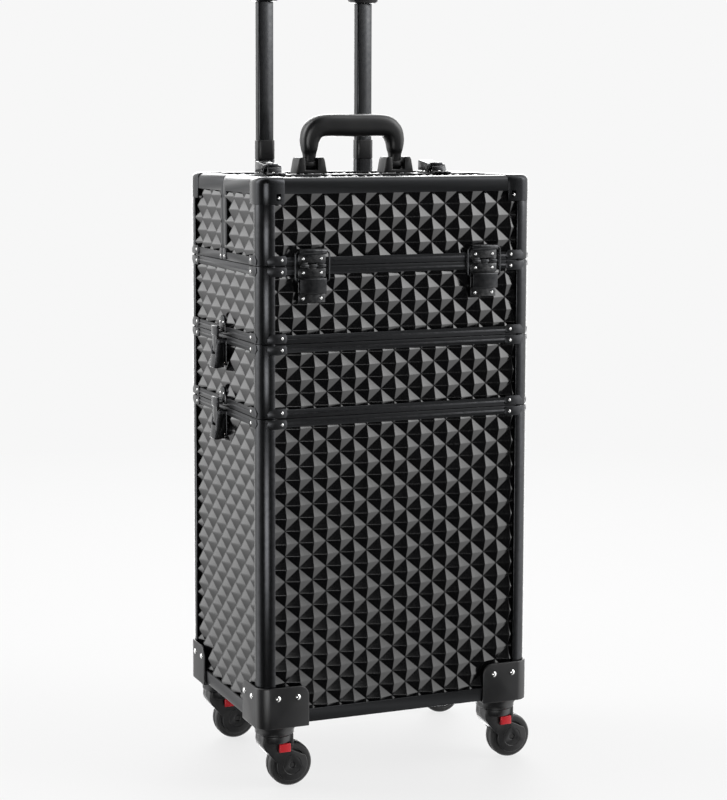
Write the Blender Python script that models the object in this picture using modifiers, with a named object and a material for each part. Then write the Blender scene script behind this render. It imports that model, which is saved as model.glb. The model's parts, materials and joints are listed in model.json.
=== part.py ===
"""Rolling makeup train case: three stacked sections, split hinged lid, trolley and casters."""

import math

import bmesh
import bpy
from mathutils import Matrix, Vector

# Driving dimensions, in metres. X is the case's width, Y its depth with the front at -Y.
CASE_W = 0.336
CASE_D = 0.242
CORNER_R = 0.013
BASE_H = 0.350
MID_H = 0.0835
TOP_H = 0.087
LID_H = 0.098
WHEEL_R = 0.026
CASTER_H = 0.079
POST = 0.018
RAIL = 0.0095
TOP_RAIL = 0.018
BOTTOM_RAIL = 0.015
FRAME_T = 0.003
PANEL_T = 0.004
LID_EDGE_R = 0.007
BRACKET_L = 0.0365
BRACKET_T = 0.0008
CAP_L = 0.026

# Clearances.
GAP = 0.0003
SEAM = 0.0006

# Heights of the seams.
Z_CASE = CASTER_H
Z_MID = Z_CASE + BASE_H
Z_TOP = Z_MID + MID_H
Z_LID = Z_TOP + TOP_H
Z_END = Z_LID + LID_H
X_FACE = CASE_W / 2
Y_FACE = CASE_D / 2
SHELL_IN = FRAME_T + GAP
ROOM_IN = SHELL_IN + PANEL_T

# Stay hinges. N is measured outward from the knuckle axis, which lies off the case's face.
HINGE_X = 0.1065
HINGE_W = 0.033
KNUCKLE_OUT = 0.0035
KNUCKLE_R = 0.0022
RING_W = HINGE_W + 0.010
RING_WIRE = 0.001
RING_TOP = 0.016
RING_DROP = 0.0335
RING_OUT = 0.0025

# Latches: pull direction U with the seam at 0, height N above the face.
TOP_LATCH_X = 0.106
LEVER_U = -0.007
LEVER_N = 0.0065
BAIL_U = -0.0175
BAIL_N = 0.008

# Casters.
STEM_IN = 0.027
STEM_X = X_FACE - STEM_IN
STEM_Y = Y_FACE - STEM_IN
TRAIL = 0.017
WHEEL_W = 0.018
BOSS_R = 0.025
NECK_R = 0.020
HOUSING_X = 0.058
HOUSING_Y = 0.052
HOUSING_H = 0.044
HOUSING_T = 0.003

# Trolley.
TUBE_X = 0.066
TUBE_FOOT = 0.007
OUTER_TUBE = (0.0235, 0.015)
OUTER_HOLE = (0.0214, 0.0124)
INNER_TUBE = (0.0208, 0.0118)
TUBE_GAP = 0.0075
TUBE_Y = Y_FACE + TUBE_GAP + OUTER_TUBE[1] / 2
Z_COLLAR = Z_END + 0.0385
Z_SOCKET = Z_COLLAR + 0.170
GRIP_H = 0.038

# Carry handle.
HANDLE_Y = 0.0145
HANDLE_PIVOT = 0.011
HANDLE_OUT = 0.0675
HANDLE_TOP = 0.0700
GRIP_R = 0.0138

# Cantilever trays.
LINK_SHORT = 0.040
LINK_LONG = 0.080
LINK_LEAN = math.radians(50)
LINK_DROP = 0.0105
LINK_Y = Y_FACE - 0.0173
LINK_STEP = 0.0229
LINK_X = X_FACE - 0.0155
TRAY_X = X_FACE - 0.0180
TRAY_Y = (0.0095, Y_FACE - 0.0170)
TRAY_H = 0.024
TRAY_T = 0.002


def clear_scene():
    for item in list(bpy.data.objects):
        bpy.data.objects.remove(item, do_unlink=True)


def make_material(name, colour, rough, metal=0.0):
    material = bpy.data.materials.new(name)
    material.use_nodes = True
    shader = material.node_tree.nodes["Principled BSDF"]
    shader.inputs["Base Color"].default_value = (*colour, 1.0)
    shader.inputs["Roughness"].default_value = rough
    shader.inputs["Metallic"].default_value = metal
    return material


def as_object(name, bm):
    bmesh.ops.recalc_face_normals(bm, faces=bm.faces[:])
    mesh = bpy.data.meshes.new(name)
    bm.to_mesh(mesh)
    bm.free()
    item = bpy.data.objects.new(name, mesh)
    bpy.context.scene.collection.objects.link(item)
    return item


def place(axis, a, b, c):
    """A point from two profile coordinates and one along the extrusion axis."""
    if axis == "X":
        return Vector((c, a, b))
    if axis == "Y":
        return Vector((a, c, b))
    return Vector((a, b, c))


def prism(points, axis, low, high, name="piece"):
    """Extrude a closed profile along an axis."""
    bm = bmesh.new()
    first = [bm.verts.new(place(axis, a, b, low)) for a, b in points]
    last = [bm.verts.new(place(axis, a, b, high)) for a, b in points]
    bm.faces.new(first)
    bm.faces.new(last)
    count = len(points)
    for i in range(count):
        j = (i + 1) % count
        bm.faces.new((first[i], first[j], last[j], last[i]))
    return as_object(name, bm)


def box(low, high, name="piece"):
    corners = [(low[0], low[1]), (high[0], low[1]), (high[0], high[1]), (low[0], high[1])]
    return prism(corners, "Z", low[2], high[2], name)


def round_rect(width, depth, radius, steps=4, centre=(0.0, 0.0)):
    points = []
    for turn, (sx, sy) in enumerate(((1, 1), (-1, 1), (-1, -1), (1, -1))):
        cx = centre[0] + sx * (width / 2 - radius)
        cy = centre[1] + sy * (depth / 2 - radius)
        for i in range(steps + 1):
            angle = math.pi / 2 * (turn + i / steps)
            points.append((cx + radius * math.cos(angle), cy + radius * math.sin(angle)))
    return points


def disc_points(a, b, radius, steps=24, start=0.0, end=360.0):
    whole = abs(end - start) >= 360.0
    count = steps if whole else steps + 1
    points = []
    for i in range(count):
        angle = math.radians(start + (end - start) * i / steps)
        points.append((a + radius * math.cos(angle), b + radius * math.sin(angle)))
    return points


def rod(axis, a, b, radius, low, high, steps=16):
    return prism(disc_points(a, b, radius, steps), axis, low, high)


def bake(item):
    graph = bpy.context.evaluated_depsgraph_get()
    mesh = bpy.data.meshes.new_from_object(item.evaluated_get(graph))
    item.modifiers.clear()
    item.data = mesh
    return item


def combine(target, tool, operation):
    """Cut, join or intersect, then drop the tool."""
    step = target.modifiers.new("step", "BOOLEAN")
    step.operation = operation
    step.solver = "EXACT"
    step.object = tool
    bake(target)
    bpy.data.objects.remove(tool, do_unlink=True)
    return target


def cut(target, *tools):
    for tool in tools:
        combine(target, tool, "DIFFERENCE")
    return target


def join(target, *tools):
    for tool in tools:
        combine(target, tool, "UNION")
    return target


def keep(target, *tools):
    for tool in tools:
        combine(target, tool, "INTERSECT")
    return target


def move(item, matrix):
    item.data.transform(matrix)
    bm = bmesh.new()
    bm.from_mesh(item.data)
    bmesh.ops.recalc_face_normals(bm, faces=bm.faces[:])
    bm.to_mesh(item.data)
    bm.free()
    return item


def mirrored_y(item):
    return move(item, Matrix.Scale(-1.0, 4, (0, 1, 0)))


def finish(item, name, material, pivot=None):
    """Name the piece, give it its material and put its origin on its joint."""
    bm = bmesh.new()
    bm.from_mesh(item.data)
    bmesh.ops.remove_doubles(bm, verts=bm.verts[:], dist=0.00001)
    bmesh.ops.dissolve_degenerate(bm, dist=0.00001, edges=bm.edges[:])
    bmesh.ops.recalc_face_normals(bm, faces=bm.faces[:])
    bm.to_mesh(item.data)
    bm.free()
    item.name = name
    item.data.name = name
    item.data.materials.clear()
    item.data.materials.append(material)
    item.data.shade_smooth()
    item.data.set_sharp_from_angle(angle=math.radians(32))
    if pivot is not None:
        item.data.transform(Matrix.Translation(-Vector(pivot)))
        item.location = pivot
    return item


def slab(grow, low, high):
    """The case's plan outline, grown or shrunk, as a block."""
    width = CASE_W + 2 * grow
    depth = CASE_D + 2 * grow
    radius = max(CORNER_R + grow, 0.003)
    return prism(round_rect(width, depth, radius), "Z", low, high)


def lid_block(grow, low, high, edge):
    """A block with the case's outline and rounded top edges."""
    block = slab(grow, low, high)
    bm = bmesh.new()
    bm.from_mesh(block.data)
    top = [e for e in bm.edges if all(abs(v.co.z - high) < 1e-6 for v in e.verts)]
    bmesh.ops.bevel(bm, geom=top, offset=edge, segments=3, profile=0.5, affect="EDGES")
    bmesh.ops.recalc_face_normals(bm, faces=bm.faces[:])
    bm.to_mesh(block.data)
    bm.free()
    return block


def corner_plates(low, high, length, inner):
    """Four thin plates that wrap the corners of a rail."""
    plates = cut(slab(BRACKET_T, low, high), slab(-inner, low - 0.01, high + 0.01))
    across = box((-X_FACE + length, -CASE_D, low - 0.01), (X_FACE - length, CASE_D, high + 0.01))
    along = box((-CASE_W, -Y_FACE + length, low - 0.01), (CASE_W, Y_FACE - length, high + 0.01))
    return cut(plates, across, along)


def cage(low, high, low_rail, high_rail):
    """Open aluminium frame of a section: two rails joined by corner posts."""
    frame = cut(slab(0.0, low, high), slab(-FRAME_T, low - 0.01, high + 0.01))
    window_low = low + low_rail
    window_high = high - high_rail
    side = X_FACE - POST
    front = Y_FACE - POST
    cut(frame, box((-side, -CASE_D, window_low), (side, CASE_D, window_high)))
    return cut(frame, box((-CASE_W, -front, window_low), (CASE_W, front, window_high)))


def tub(high, floor_low):
    """Panel tub of a section: four walls and a floor inside its frame."""
    body = slab(-SHELL_IN, floor_low, high)
    return cut(body, slab(-ROOM_IN, floor_low + PANEL_T, high + 0.01))


# Stay hinge hardware, drawn as side profiles (outward, up) with the knuckle axis at 0, 0.


def outward(points, y_axis, z_axis):
    """Turn (out, up) profile points into (y, z) at the front of the case."""
    return [(y_axis - out, z_axis + up) for out, up in points]


def hinge_leaf(x, y_axis, z_axis, low, high, out=(-0.0038, -0.0019)):
    half = HINGE_W / 2
    points = [(out[0], low), (out[1], low), (out[1], high), (out[0], high)]
    return prism(outward(points, y_axis, z_axis), "X", x - half, x + half)


def upper_leaf(x, y_axis, z_axis):
    """Lid leaf with its curled flange, which holds the ring's top bar."""
    half = HINGE_W / 2
    profile = [
        (-0.0038, 0.0030), (-0.0019, 0.0030), (-0.0019, 0.0128), (0.0019, 0.0128),
        (0.0019, 0.0190), (-0.0062, 0.0190), (-0.0062, 0.0180), (0.0008, 0.0180),
        (0.0008, 0.0140), (-0.0038, 0.0140),
    ]
    return prism(outward(profile, y_axis, z_axis), "X", x - half, x + half)


def stay_bridge(x, y_axis, z_axis):
    """Backing strip, riveted foot and the raised plate the ring's lower bar runs behind."""
    half = HINGE_W / 2
    profile = [
        (-0.0060, -0.0060), (-0.0047, -0.0060), (-0.0047, -0.0302), (0.0024, -0.0302),
        (0.0024, -0.0145), (0.0036, -0.0145), (0.0036, -0.0314), (-0.0025, -0.0314),
        (-0.0025, -0.0412), (-0.0060, -0.0412),
    ]
    return prism(outward(profile, y_axis, z_axis), "X", x - half, x + half)


def knuckle(x, y_axis, z_axis, start, end, up):
    """A knuckle barrel and the tongue that joins it to its leaf."""
    barrel = rod("X", y_axis, z_axis, KNUCKLE_R, x + start, x + end, 12)
    low, high = (0.0012, 0.0036) if up else (-0.0036, -0.0012)
    tongue = [(-0.0030, low), (-0.0012, low), (-0.0012, high), (-0.0030, high)]
    way = 1 if up else -1
    mid = [(-0.0028, 0.0), (0.0, 0.0), (0.0, way * 0.0010), (-0.0028, way * 0.0020)]
    plate = prism(outward(tongue, y_axis, z_axis), "X", x + start, x + end)
    web = prism(outward(mid, y_axis, z_axis), "X", x + start + 0.0001, x + end - 0.0001)
    return join(barrel, plate, web)


# Latch hardware, drawn as side profiles (u, n): u along the pull, n outward.


def latch_piece(points, half, place_uvn, low=None):
    """Extrude a (u, n) profile across the latch's width and place it on the case."""
    start = -half if low is None else low
    item = prism(points, "Z", start, half)
    return move(item, place_uvn)


def side_latch_frame(side, seam_z):
    """u is up, n points out of an end face, the width runs along Y."""
    return Matrix(((0, side, 0, side * X_FACE), (0, 0, 1, 0), (1, 0, 0, seam_z), (0, 0, 0, 1)))


def top_latch_frame(x):
    """u points to the front across the lid seam, n is up, the width runs along X."""
    return Matrix(((0, 0, 1, x), (-1, 0, 0, 0), (0, 1, 0, Z_END), (0, 0, 0, 1)))


def latch_base(frame):
    plate = [(-0.0355, -0.0006), (-0.0030, -0.0006), (-0.0030, 0.0015), (-0.0355, 0.0015)]
    base = latch_piece(plate, 0.012, frame)
    for low in (-0.0114, 0.0094):
        ear = [(-0.0130, 0.0010), (-0.0030, 0.0010)]
        ear += disc_points(LEVER_U, LEVER_N, 0.0040, 6, 0.0, 180.0)
        join(base, latch_piece(ear, low + 0.0020, frame, low))
    return base


def latch_strike(frame, dome=True):
    """D-shaped strike plate with the lug the hook closes over."""
    plate = [(0.0030, -0.0006), (0.0200, -0.0006), (0.0230, 0.0010), (0.0190, 0.0025), (0.0030, 0.0025)]
    strike = latch_piece(plate, 0.010, frame)
    lug = [(0.0065, 0.0020), (0.0065, 0.0068), (0.0090, 0.0068), (0.0096, 0.0020)]
    if not dome:
        lug = [(0.0012, -0.0006), (0.0012, 0.0080), (0.0036, 0.0080), (0.0060, 0.0020), (0.0060, -0.0006)]
    return join(strike, latch_piece(lug, 0.0085, frame))


def lever_piece(frame):
    """Lever: two cheeks on the pivot and a finger tab below them."""
    cheek = disc_points(LEVER_U, LEVER_N, 0.0048, 6, -60.0, 100.0)
    cheek += [(-0.0200, 0.0130), (-0.0375, 0.0130), (-0.0375, 0.0050), (-0.0160, 0.0042)]
    tab = [(-0.0223, 0.0100), (-0.0223, 0.0129), (-0.0374, 0.0160), (-0.0385, 0.0110), (-0.0374, 0.0080)]
    lever = latch_piece(tab, 0.0088, frame)
    for low in (-0.0091, 0.0071):
        join(lever, latch_piece(cheek, low + 0.0020, frame, low))
    return lever


def bail_piece(frame, reach):
    """Hook: a barrel on the lever, a neck between its cheeks and a lipped head."""
    half = 0.0067
    barrel = latch_piece(disc_points(BAIL_U, BAIL_N, 0.0043, 16), half, frame)
    neck = [(BAIL_U, 0.0090), (reach - 0.001, 0.0090), (reach - 0.001, 0.0119), (BAIL_U, 0.0119)]
    start = max(reach - 0.0125, -0.0105)
    head = [
        (start, 0.0088), (reach, 0.0088), (reach, 0.0108), (reach - 0.0015, 0.0125), (start, 0.0125),
    ]
    lip_u = 0.0030 if reach > 0.005 else reach - 0.0022
    lip = [(lip_u, 0.0032), (lip_u + 0.0020, 0.0032), (lip_u + 0.0020, 0.0095), (lip_u, 0.0095)]
    head_half = 0.0095 if reach > 0.005 else half - 0.0001
    join(barrel, latch_piece(neck, half - 0.00005, frame), latch_piece(head, head_half, frame))
    return join(barrel, latch_piece(lip, 0.0065, frame))


LATCH_FRAMES = {
    "top_left": top_latch_frame(-TOP_LATCH_X),
    "top_right": top_latch_frame(TOP_LATCH_X),
    "upper_left": side_latch_frame(-1, Z_TOP),
    "upper_right": side_latch_frame(1, Z_TOP),
    "lower_left": side_latch_frame(-1, Z_MID),
    "lower_right": side_latch_frame(1, Z_MID),
}


def build_sections(metal, panel):
    """Frames and panel tubs of the base, the middle and the top section."""
    base = cage(Z_CASE, Z_MID - SEAM / 2, BOTTOM_RAIL, RAIL)
    join(base, corner_plates(Z_MID - 0.0085, Z_MID - 0.0010, BRACKET_L, 0.001))
    join(base, latch_base(LATCH_FRAMES["lower_left"]), latch_base(LATCH_FRAMES["lower_right"]))
    foot = Z_CASE + TUBE_FOOT
    join(base, trolley_bracket(Z_CASE + 0.002, foot + 0.012, foot - GAP, Y_FACE - 0.001))
    finish(base, "base_frame", metal)
    finish(tub(Z_MID - SEAM, Z_CASE), "base_shell", panel)

    mid = cage(Z_MID + SEAM / 2, Z_TOP - SEAM / 2, RAIL, RAIL)
    join(mid, corner_plates(Z_MID + 0.0010, Z_MID + 0.0085, BRACKET_L, 0.001))
    join(mid, corner_plates(Z_TOP - 0.0085, Z_TOP - 0.0010, BRACKET_L, 0.001))
    join(mid, latch_base(LATCH_FRAMES["upper_left"]), latch_base(LATCH_FRAMES["upper_right"]))
    join(mid, latch_strike(LATCH_FRAMES["lower_left"]), latch_strike(LATCH_FRAMES["lower_right"]))
    finish(mid, "mid_frame", metal)
    finish(tub(Z_TOP - SEAM, Z_MID + SEAM), "mid_shell", panel)

    top = cage(Z_TOP + SEAM / 2, Z_LID - SEAM / 2, RAIL, RAIL)
    join(top, corner_plates(Z_TOP + 0.0010, Z_TOP + 0.0085, BRACKET_L, 0.001))
    join(top, corner_plates(Z_LID - 0.0085, Z_LID - 0.0010, BRACKET_L, 0.001))
    join(top, latch_strike(LATCH_FRAMES["upper_left"]), latch_strike(LATCH_FRAMES["upper_right"]))
    y_axis = -Y_FACE - KNUCKLE_OUT
    for x in (-HINGE_X, HINGE_X):
        for turn in (False, True):
            leaf = hinge_leaf(x, y_axis, Z_LID, -0.0130, -0.0030)
            join(leaf, stay_bridge(x, y_axis, Z_LID))
            join(leaf, knuckle(x, y_axis, Z_LID, -0.0050, 0.0050, False))
            join(top, mirrored_y(leaf) if turn else leaf)
    finish(top, "top_frame", metal)
    finish(tub(Z_LID - SEAM, Z_TOP + SEAM), "top_shell", panel)


def lid_cage():
    """Frame of one half of the lid, built at the front."""
    low = Z_LID + SEAM / 2
    side = X_FACE - POST
    frame = lid_block(0.0, low, Z_END, LID_EDGE_R)
    cut(frame, lid_block(-FRAME_T, low - 0.01, Z_END - FRAME_T, LID_EDGE_R - FRAME_T))
    cut(frame, box((-side, -CASE_D, Z_LID + RAIL), (side, 0.0, Z_END - TOP_RAIL)))
    cut(frame, box((-CASE_W, -Y_FACE + POST, Z_LID + RAIL), (CASE_W, -RAIL, Z_END - TOP_RAIL)))
    cut(frame, box((-side, -Y_FACE + 0.016, Z_END - 0.010), (side, -RAIL, Z_END + 0.010)))
    grown = lid_block(BRACKET_T, Z_END - CAP_L, Z_END + BRACKET_T, LID_EDGE_R)
    cut(grown, lid_block(-0.001, Z_END - 0.05, Z_END - 0.001, LID_EDGE_R - 0.001))
    cut(grown, box((-X_FACE + CAP_L, -CASE_D, Z_LID), (X_FACE - CAP_L, CASE_D, Z_END + 0.01)))
    cut(grown, box((-CASE_W, -Y_FACE + CAP_L, Z_LID), (CASE_W, Y_FACE - CAP_L, Z_END + 0.01)))
    join(frame, grown)
    join(frame, corner_plates(Z_LID + 0.0010, Z_LID + 0.0085, BRACKET_L, 0.001))
    return keep(frame, box((-CASE_W, -CASE_D, Z_LID - 0.05), (CASE_W, -SEAM / 2, Z_END + 0.05)))


def lid_panels():
    """Panels of one half of the lid: front, ends and top, open below and at the seam."""
    low = Z_LID + SEAM
    shell = lid_block(-SHELL_IN, low, Z_END - SHELL_IN, 0.004)
    cut(shell, lid_block(-ROOM_IN, low - 0.01, Z_END - ROOM_IN, 0.001))
    return keep(shell, box((-CASE_W, -CASE_D, Z_LID - 0.05), (CASE_W, -SEAM, Z_END + 0.05)))


def build_lids(metal, panel):
    y_axis = -Y_FACE - KNUCKLE_OUT
    for half in ("front", "rear"):
        frame = lid_cage()
        for x in (-HINGE_X, HINGE_X):
            leaf = upper_leaf(x, y_axis, Z_LID)
            join(leaf, knuckle(x, y_axis, Z_LID, -0.0155, -0.0053, True))
            join(leaf, knuckle(x, y_axis, Z_LID, 0.0053, 0.0155, True))
            join(frame, leaf)
        pivot = (0.0, y_axis, Z_LID)
        shell = lid_panels()
        if half == "rear":
            mirrored_y(frame)
            mirrored_y(shell)
            pivot = (0.0, -y_axis, Z_LID)
        for name in ("top_left", "top_right"):
            spot = LATCH_FRAMES[name]
            join(frame, latch_base(spot) if half == "rear" else latch_strike(spot, dome=False))
        finish(frame, half + "_lid_frame", metal, pivot)
        finish(shell, half + "_lid_shell", panel, pivot)


def build_rings(steel):
    """Wire stay rings, hanging from the curled flanges of the lid leaves."""
    for half, sy in (("front", 1), ("rear", -1)):
        for side, x in (("left", -HINGE_X), ("right", HINGE_X)):
            y = -sy * (Y_FACE + RING_OUT)
            z = Z_LID + RING_TOP
            height = RING_DROP
            width = RING_W - 2 * RING_WIRE
            path = round_rect(width, height, 0.004, 3, (x, z - height / 2))
            item = wire_loop([Vector((a, y, b)) for a, b in path], RING_WIRE)
            finish(item, "%s_ring_%s" % (half, side), steel, (x, y, z))


def wire_loop(points, radius):
    curve = bpy.data.curves.new("wire", "CURVE")
    curve.dimensions = "3D"
    curve.bevel_depth = radius
    curve.bevel_resolution = 2
    line = curve.splines.new("POLY")
    line.points.add(len(points) - 1)
    for spot, point in zip(line.points, points):
        spot.co = (*point, 1.0)
    line.use_cyclic_u = True
    holder = bpy.data.objects.new("wire", curve)
    bpy.context.scene.collection.objects.link(holder)
    graph = bpy.context.evaluated_depsgraph_get()
    mesh = bpy.data.meshes.new_from_object(holder.evaluated_get(graph))
    bpy.data.objects.remove(holder, do_unlink=True)
    item = bpy.data.objects.new("wire", mesh)
    bpy.context.scene.collection.objects.link(item)
    return item


def build_latches(steel):
    for name, frame in LATCH_FRAMES.items():
        reach = -0.0004 if name.startswith("top") else 0.0115
        lever_pivot = frame @ Vector((LEVER_U, LEVER_N, 0.0))
        bail_pivot = frame @ Vector((BAIL_U, BAIL_N, 0.0))
        finish(lever_piece(frame), name + "_latch_lever", steel, lever_pivot)
        finish(bail_piece(frame, reach), name + "_latch_hook", steel, bail_pivot)


CORNERS = {
    "front_left": (-1, -1),
    "front_right": (1, -1),
    "rear_left": (-1, 1),
    "rear_right": (1, 1),
}


def housing_piece(sx, sy):
    """Moulded corner guard with the boss that takes the caster's stem."""
    low = Z_CASE - HOUSING_T - GAP
    high = Z_CASE + HOUSING_H
    body = slab(HOUSING_T + GAP, low, high)
    x_in = X_FACE - HOUSING_X
    y_in = Y_FACE - HOUSING_Y
    r = 0.012
    face_x = [(x_in, low - 0.001), (X_FACE + 0.01, low - 0.001), (X_FACE + 0.01, high + 0.001)]
    face_x += [(x_in + r, high + 0.001)] + disc_points(x_in + r, high - r, r, 5, 90.0, 180.0)
    face_y = [(y_in, low - 0.001), (Y_FACE + 0.01, low - 0.001), (Y_FACE + 0.01, high + 0.001)]
    face_y += [(y_in + r, high + 0.001)] + disc_points(y_in + r, high - r, r, 5, 90.0, 180.0)
    keep(body, prism([(sx * a, b) for a, b in face_x], "Y", -CASE_D, CASE_D))
    keep(body, prism([(sy * a, b) for a, b in face_y], "X", -CASE_W, CASE_W))
    cut(body, slab(GAP, Z_CASE - GAP, high + 0.01))
    boss = cone_rod(sx * STEM_X, sy * STEM_Y, BOSS_R - 0.002, BOSS_R, Z_CASE - 0.0155, low + 0.001)
    join(body, boss)
    return cut(body, rod("Z", sx * STEM_X, sy * STEM_Y, 0.0063, Z_CASE - 0.02, Z_CASE - 0.005))


def cone_rod(x, y, low_radius, high_radius, low, high, steps=28):
    bm = bmesh.new()
    first = [bm.verts.new((a, b, low)) for a, b in disc_points(x, y, low_radius, steps)]
    last = [bm.verts.new((a, b, high)) for a, b in disc_points(x, y, high_radius, steps)]
    bm.faces.new(first)
    bm.faces.new(last)
    for i in range(steps):
        j = (i + 1) % steps
        bm.faces.new((first[i], first[j], last[j], last[i]))
    return as_object("cone", bm)


def fork_piece(x, y):
    """Swivel neck that curves down into two cheeks beside the wheel."""
    axle = (x + TRAIL, WHEEL_R)
    top = Z_CASE - 0.0158
    half = WHEEL_W / 2 + 0.0038
    side = [(x + NECK_R - 0.001, top), (x - NECK_R + 0.001, top), (x - NECK_R + 0.001, 0.0500)]
    side += disc_points(axle[0], axle[1], 0.019, 16, 190.0, 410.0)
    side += [(x + NECK_R - 0.001, 0.0535)]
    fork = prism(side, "Y", y - half, y + half)
    join(fork, rod("Z", x, y, NECK_R, 0.0540, top + 0.00005, 24))
    cut(fork, rod("Y", axle[0], axle[1], WHEEL_R + 0.0013, y - half + 0.0033, y + half - 0.0033, 32))
    cut(fork, rod("Y", axle[0], axle[1], 0.0033, y - 0.02, y + 0.02, 12))
    cut(fork, box((x - 0.0004, y - half - 0.01, 0.0426), (x + 0.0144, y - half + 0.0023, 0.0534)))
    return join(fork, rod("Z", x, y, 0.006, top - 0.002, Z_CASE - 0.0060, 16))


def wheel_piece(x, y):
    """Wheel turned from a rounded profile, with its axle stubs."""
    half = WHEEL_W / 2
    profile = [
        (0.0, -half - 0.0032), (0.003, -half - 0.0032), (0.003, -half + 0.001), (0.018, -half + 0.001),
        (0.020, -half), (WHEEL_R - 0.002, -half), (WHEEL_R, -half + 0.002),
    ]
    profile += [(r, -a) for r, a in reversed(profile)]
    bm = bmesh.new()
    verts = [bm.verts.new((r, a, 0.0)) for r, a in profile]
    edges = [bm.edges.new(pair) for pair in zip(verts, verts[1:])]
    bmesh.ops.spin(bm, geom=verts + edges, axis=(0, 1, 0), cent=(0, 0, 0), steps=28, angle=2 * math.pi)
    bmesh.ops.remove_doubles(bm, verts=bm.verts[:], dist=0.00001)
    wheel = as_object("wheel", bm)
    return move(wheel, Matrix.Translation((x + TRAIL, y, WHEEL_R)))


def build_casters(plastic, rubber, red):
    for corner, (sx, sy) in CORNERS.items():
        x = sx * STEM_X
        y = sy * STEM_Y
        half = WHEEL_W / 2 + 0.0038
        finish(housing_piece(sx, sy), corner + "_caster_housing", plastic)
        finish(fork_piece(x, y), corner + "_caster_fork", plastic, (x, y, WHEEL_R))
        finish(wheel_piece(x, y), corner + "_wheel", rubber, (x + TRAIL, y, WHEEL_R))
        low = (x, y - half - 0.0036, 0.0430)
        high = (x + 0.0140, y - half - GAP, 0.0530)
        finish(box(low, high), corner + "_release_tab", red, (x + 0.007, y - half, 0.048))


def tube_outline(size, x, radius=0.005):
    return round_rect(size[0], size[1], radius, 3, (x, TUBE_Y))


def trolley_bracket(low, high, holes, front=Y_FACE + 0.0012):
    """Clamp bar that holds both outer tubes on the back of the base."""
    width = 2 * TUBE_X + OUTER_TUBE[0] + 0.010
    back = TUBE_Y + OUTER_TUBE[1] / 2 + 0.003
    bar = prism(round_rect(width, back - front, 0.003, 2, (0.0, (front + back) / 2)), "Z", low, high)
    size = (OUTER_TUBE[0] + 2 * GAP, OUTER_TUBE[1] + 2 * GAP)
    for x in (-TUBE_X, TUBE_X):
        cut(bar, prism(tube_outline(size, x), "Z", holes, high + 0.01))
    return bar


def build_trolley(metal, plastic, steel):
    foot = Z_CASE + TUBE_FOOT
    for side, x in (("left", -TUBE_X), ("right", TUBE_X)):
        outer = prism(tube_outline(OUTER_TUBE, x), "Z", foot, Z_COLLAR)
        cut(outer, prism(tube_outline(OUTER_HOLE, x, 0.004), "Z", foot + 0.004, Z_COLLAR + 0.01))
        finish(outer, "trolley_outer_tube_" + side, metal)
        inner = prism(tube_outline(INNER_TUBE, x, 0.0037), "Z", Z_COLLAR - 0.060, Z_SOCKET - GAP)
        finish(inner, "trolley_inner_tube_" + side, metal, (0, TUBE_Y, Z_SOCKET))
    clamp = trolley_bracket(Z_MID - 0.040, Z_MID - 0.016, Z_MID - 0.050)
    finish(clamp, "trolley_bracket", plastic)

    outer_x = TUBE_X + 0.0165
    grip = prism(grip_outline(outer_x), "Y", TUBE_Y - 0.0115, TUBE_Y + 0.0115)
    bevel_all(grip, 0.004)
    cut(grip, box((-0.0143, TUBE_Y - 0.0063, Z_SOCKET + GRIP_H - 0.009), (0.0143, TUBE_Y + 0.0063, 2.0)))
    finish(grip, "trolley_grip", plastic, (0, TUBE_Y, Z_SOCKET))
    top = Z_SOCKET + GRIP_H
    button = prism(round_rect(0.028, 0.012, 0.004, 4, (0.0, TUBE_Y)), "Z", top - 0.0035, top + 0.0020)
    finish(button, "trolley_button", steel, (0, TUBE_Y, top))


def grip_outline(outer_x):
    """Front view of the trolley grip: a bar on two sockets."""
    low = Z_SOCKET
    high = Z_SOCKET + GRIP_H
    inner_x = TUBE_X - 0.0165
    points = [(outer_x, low)]
    points += disc_points(outer_x - 0.012, high - 0.012, 0.012, 5, 0.0, 90.0)
    points += disc_points(-outer_x + 0.012, high - 0.012, 0.012, 5, 90.0, 180.0)
    points += [(-outer_x, low), (-inner_x, low), (-inner_x + 0.004, low + 0.012)]
    points += [(inner_x - 0.004, low + 0.012), (inner_x, low)]
    return points


def bevel_all(item, width):
    step = item.modifiers.new("edge", "BEVEL")
    step.width = width
    step.segments = 2
    step.limit_method = "ANGLE"
    step.angle_limit = math.radians(50)
    return bake(item)


def handle_piece():
    """Carry handle: a thick grip on two legs that narrow to their pivots."""
    z = Z_END + HANDLE_TOP - GRIP_R
    foot = Z_END + HANDLE_PIVOT
    centre = HANDLE_OUT - 0.0115
    stations = [
        (-centre, foot - 0.002, 0.0070, 0.0050), (-centre, foot + 0.012, 0.0076, 0.0066),
        (-centre, z - 0.022, 0.0105, 0.0105), (-centre + 0.002, z - 0.011, GRIP_R, GRIP_R - 0.001),
        (-centre + 0.008, z - 0.003, GRIP_R, GRIP_R), (-centre + 0.018, z, GRIP_R, GRIP_R),
        (centre - 0.018, z, GRIP_R, GRIP_R), (centre - 0.008, z - 0.003, GRIP_R, GRIP_R),
        (centre - 0.002, z - 0.011, GRIP_R, GRIP_R - 0.001), (centre, z - 0.022, 0.0105, 0.0105),
        (centre, foot + 0.012, 0.0076, 0.0066), (centre, foot - 0.002, 0.0070, 0.0050),
    ]
    return swept(stations, HANDLE_Y, 14)


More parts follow.
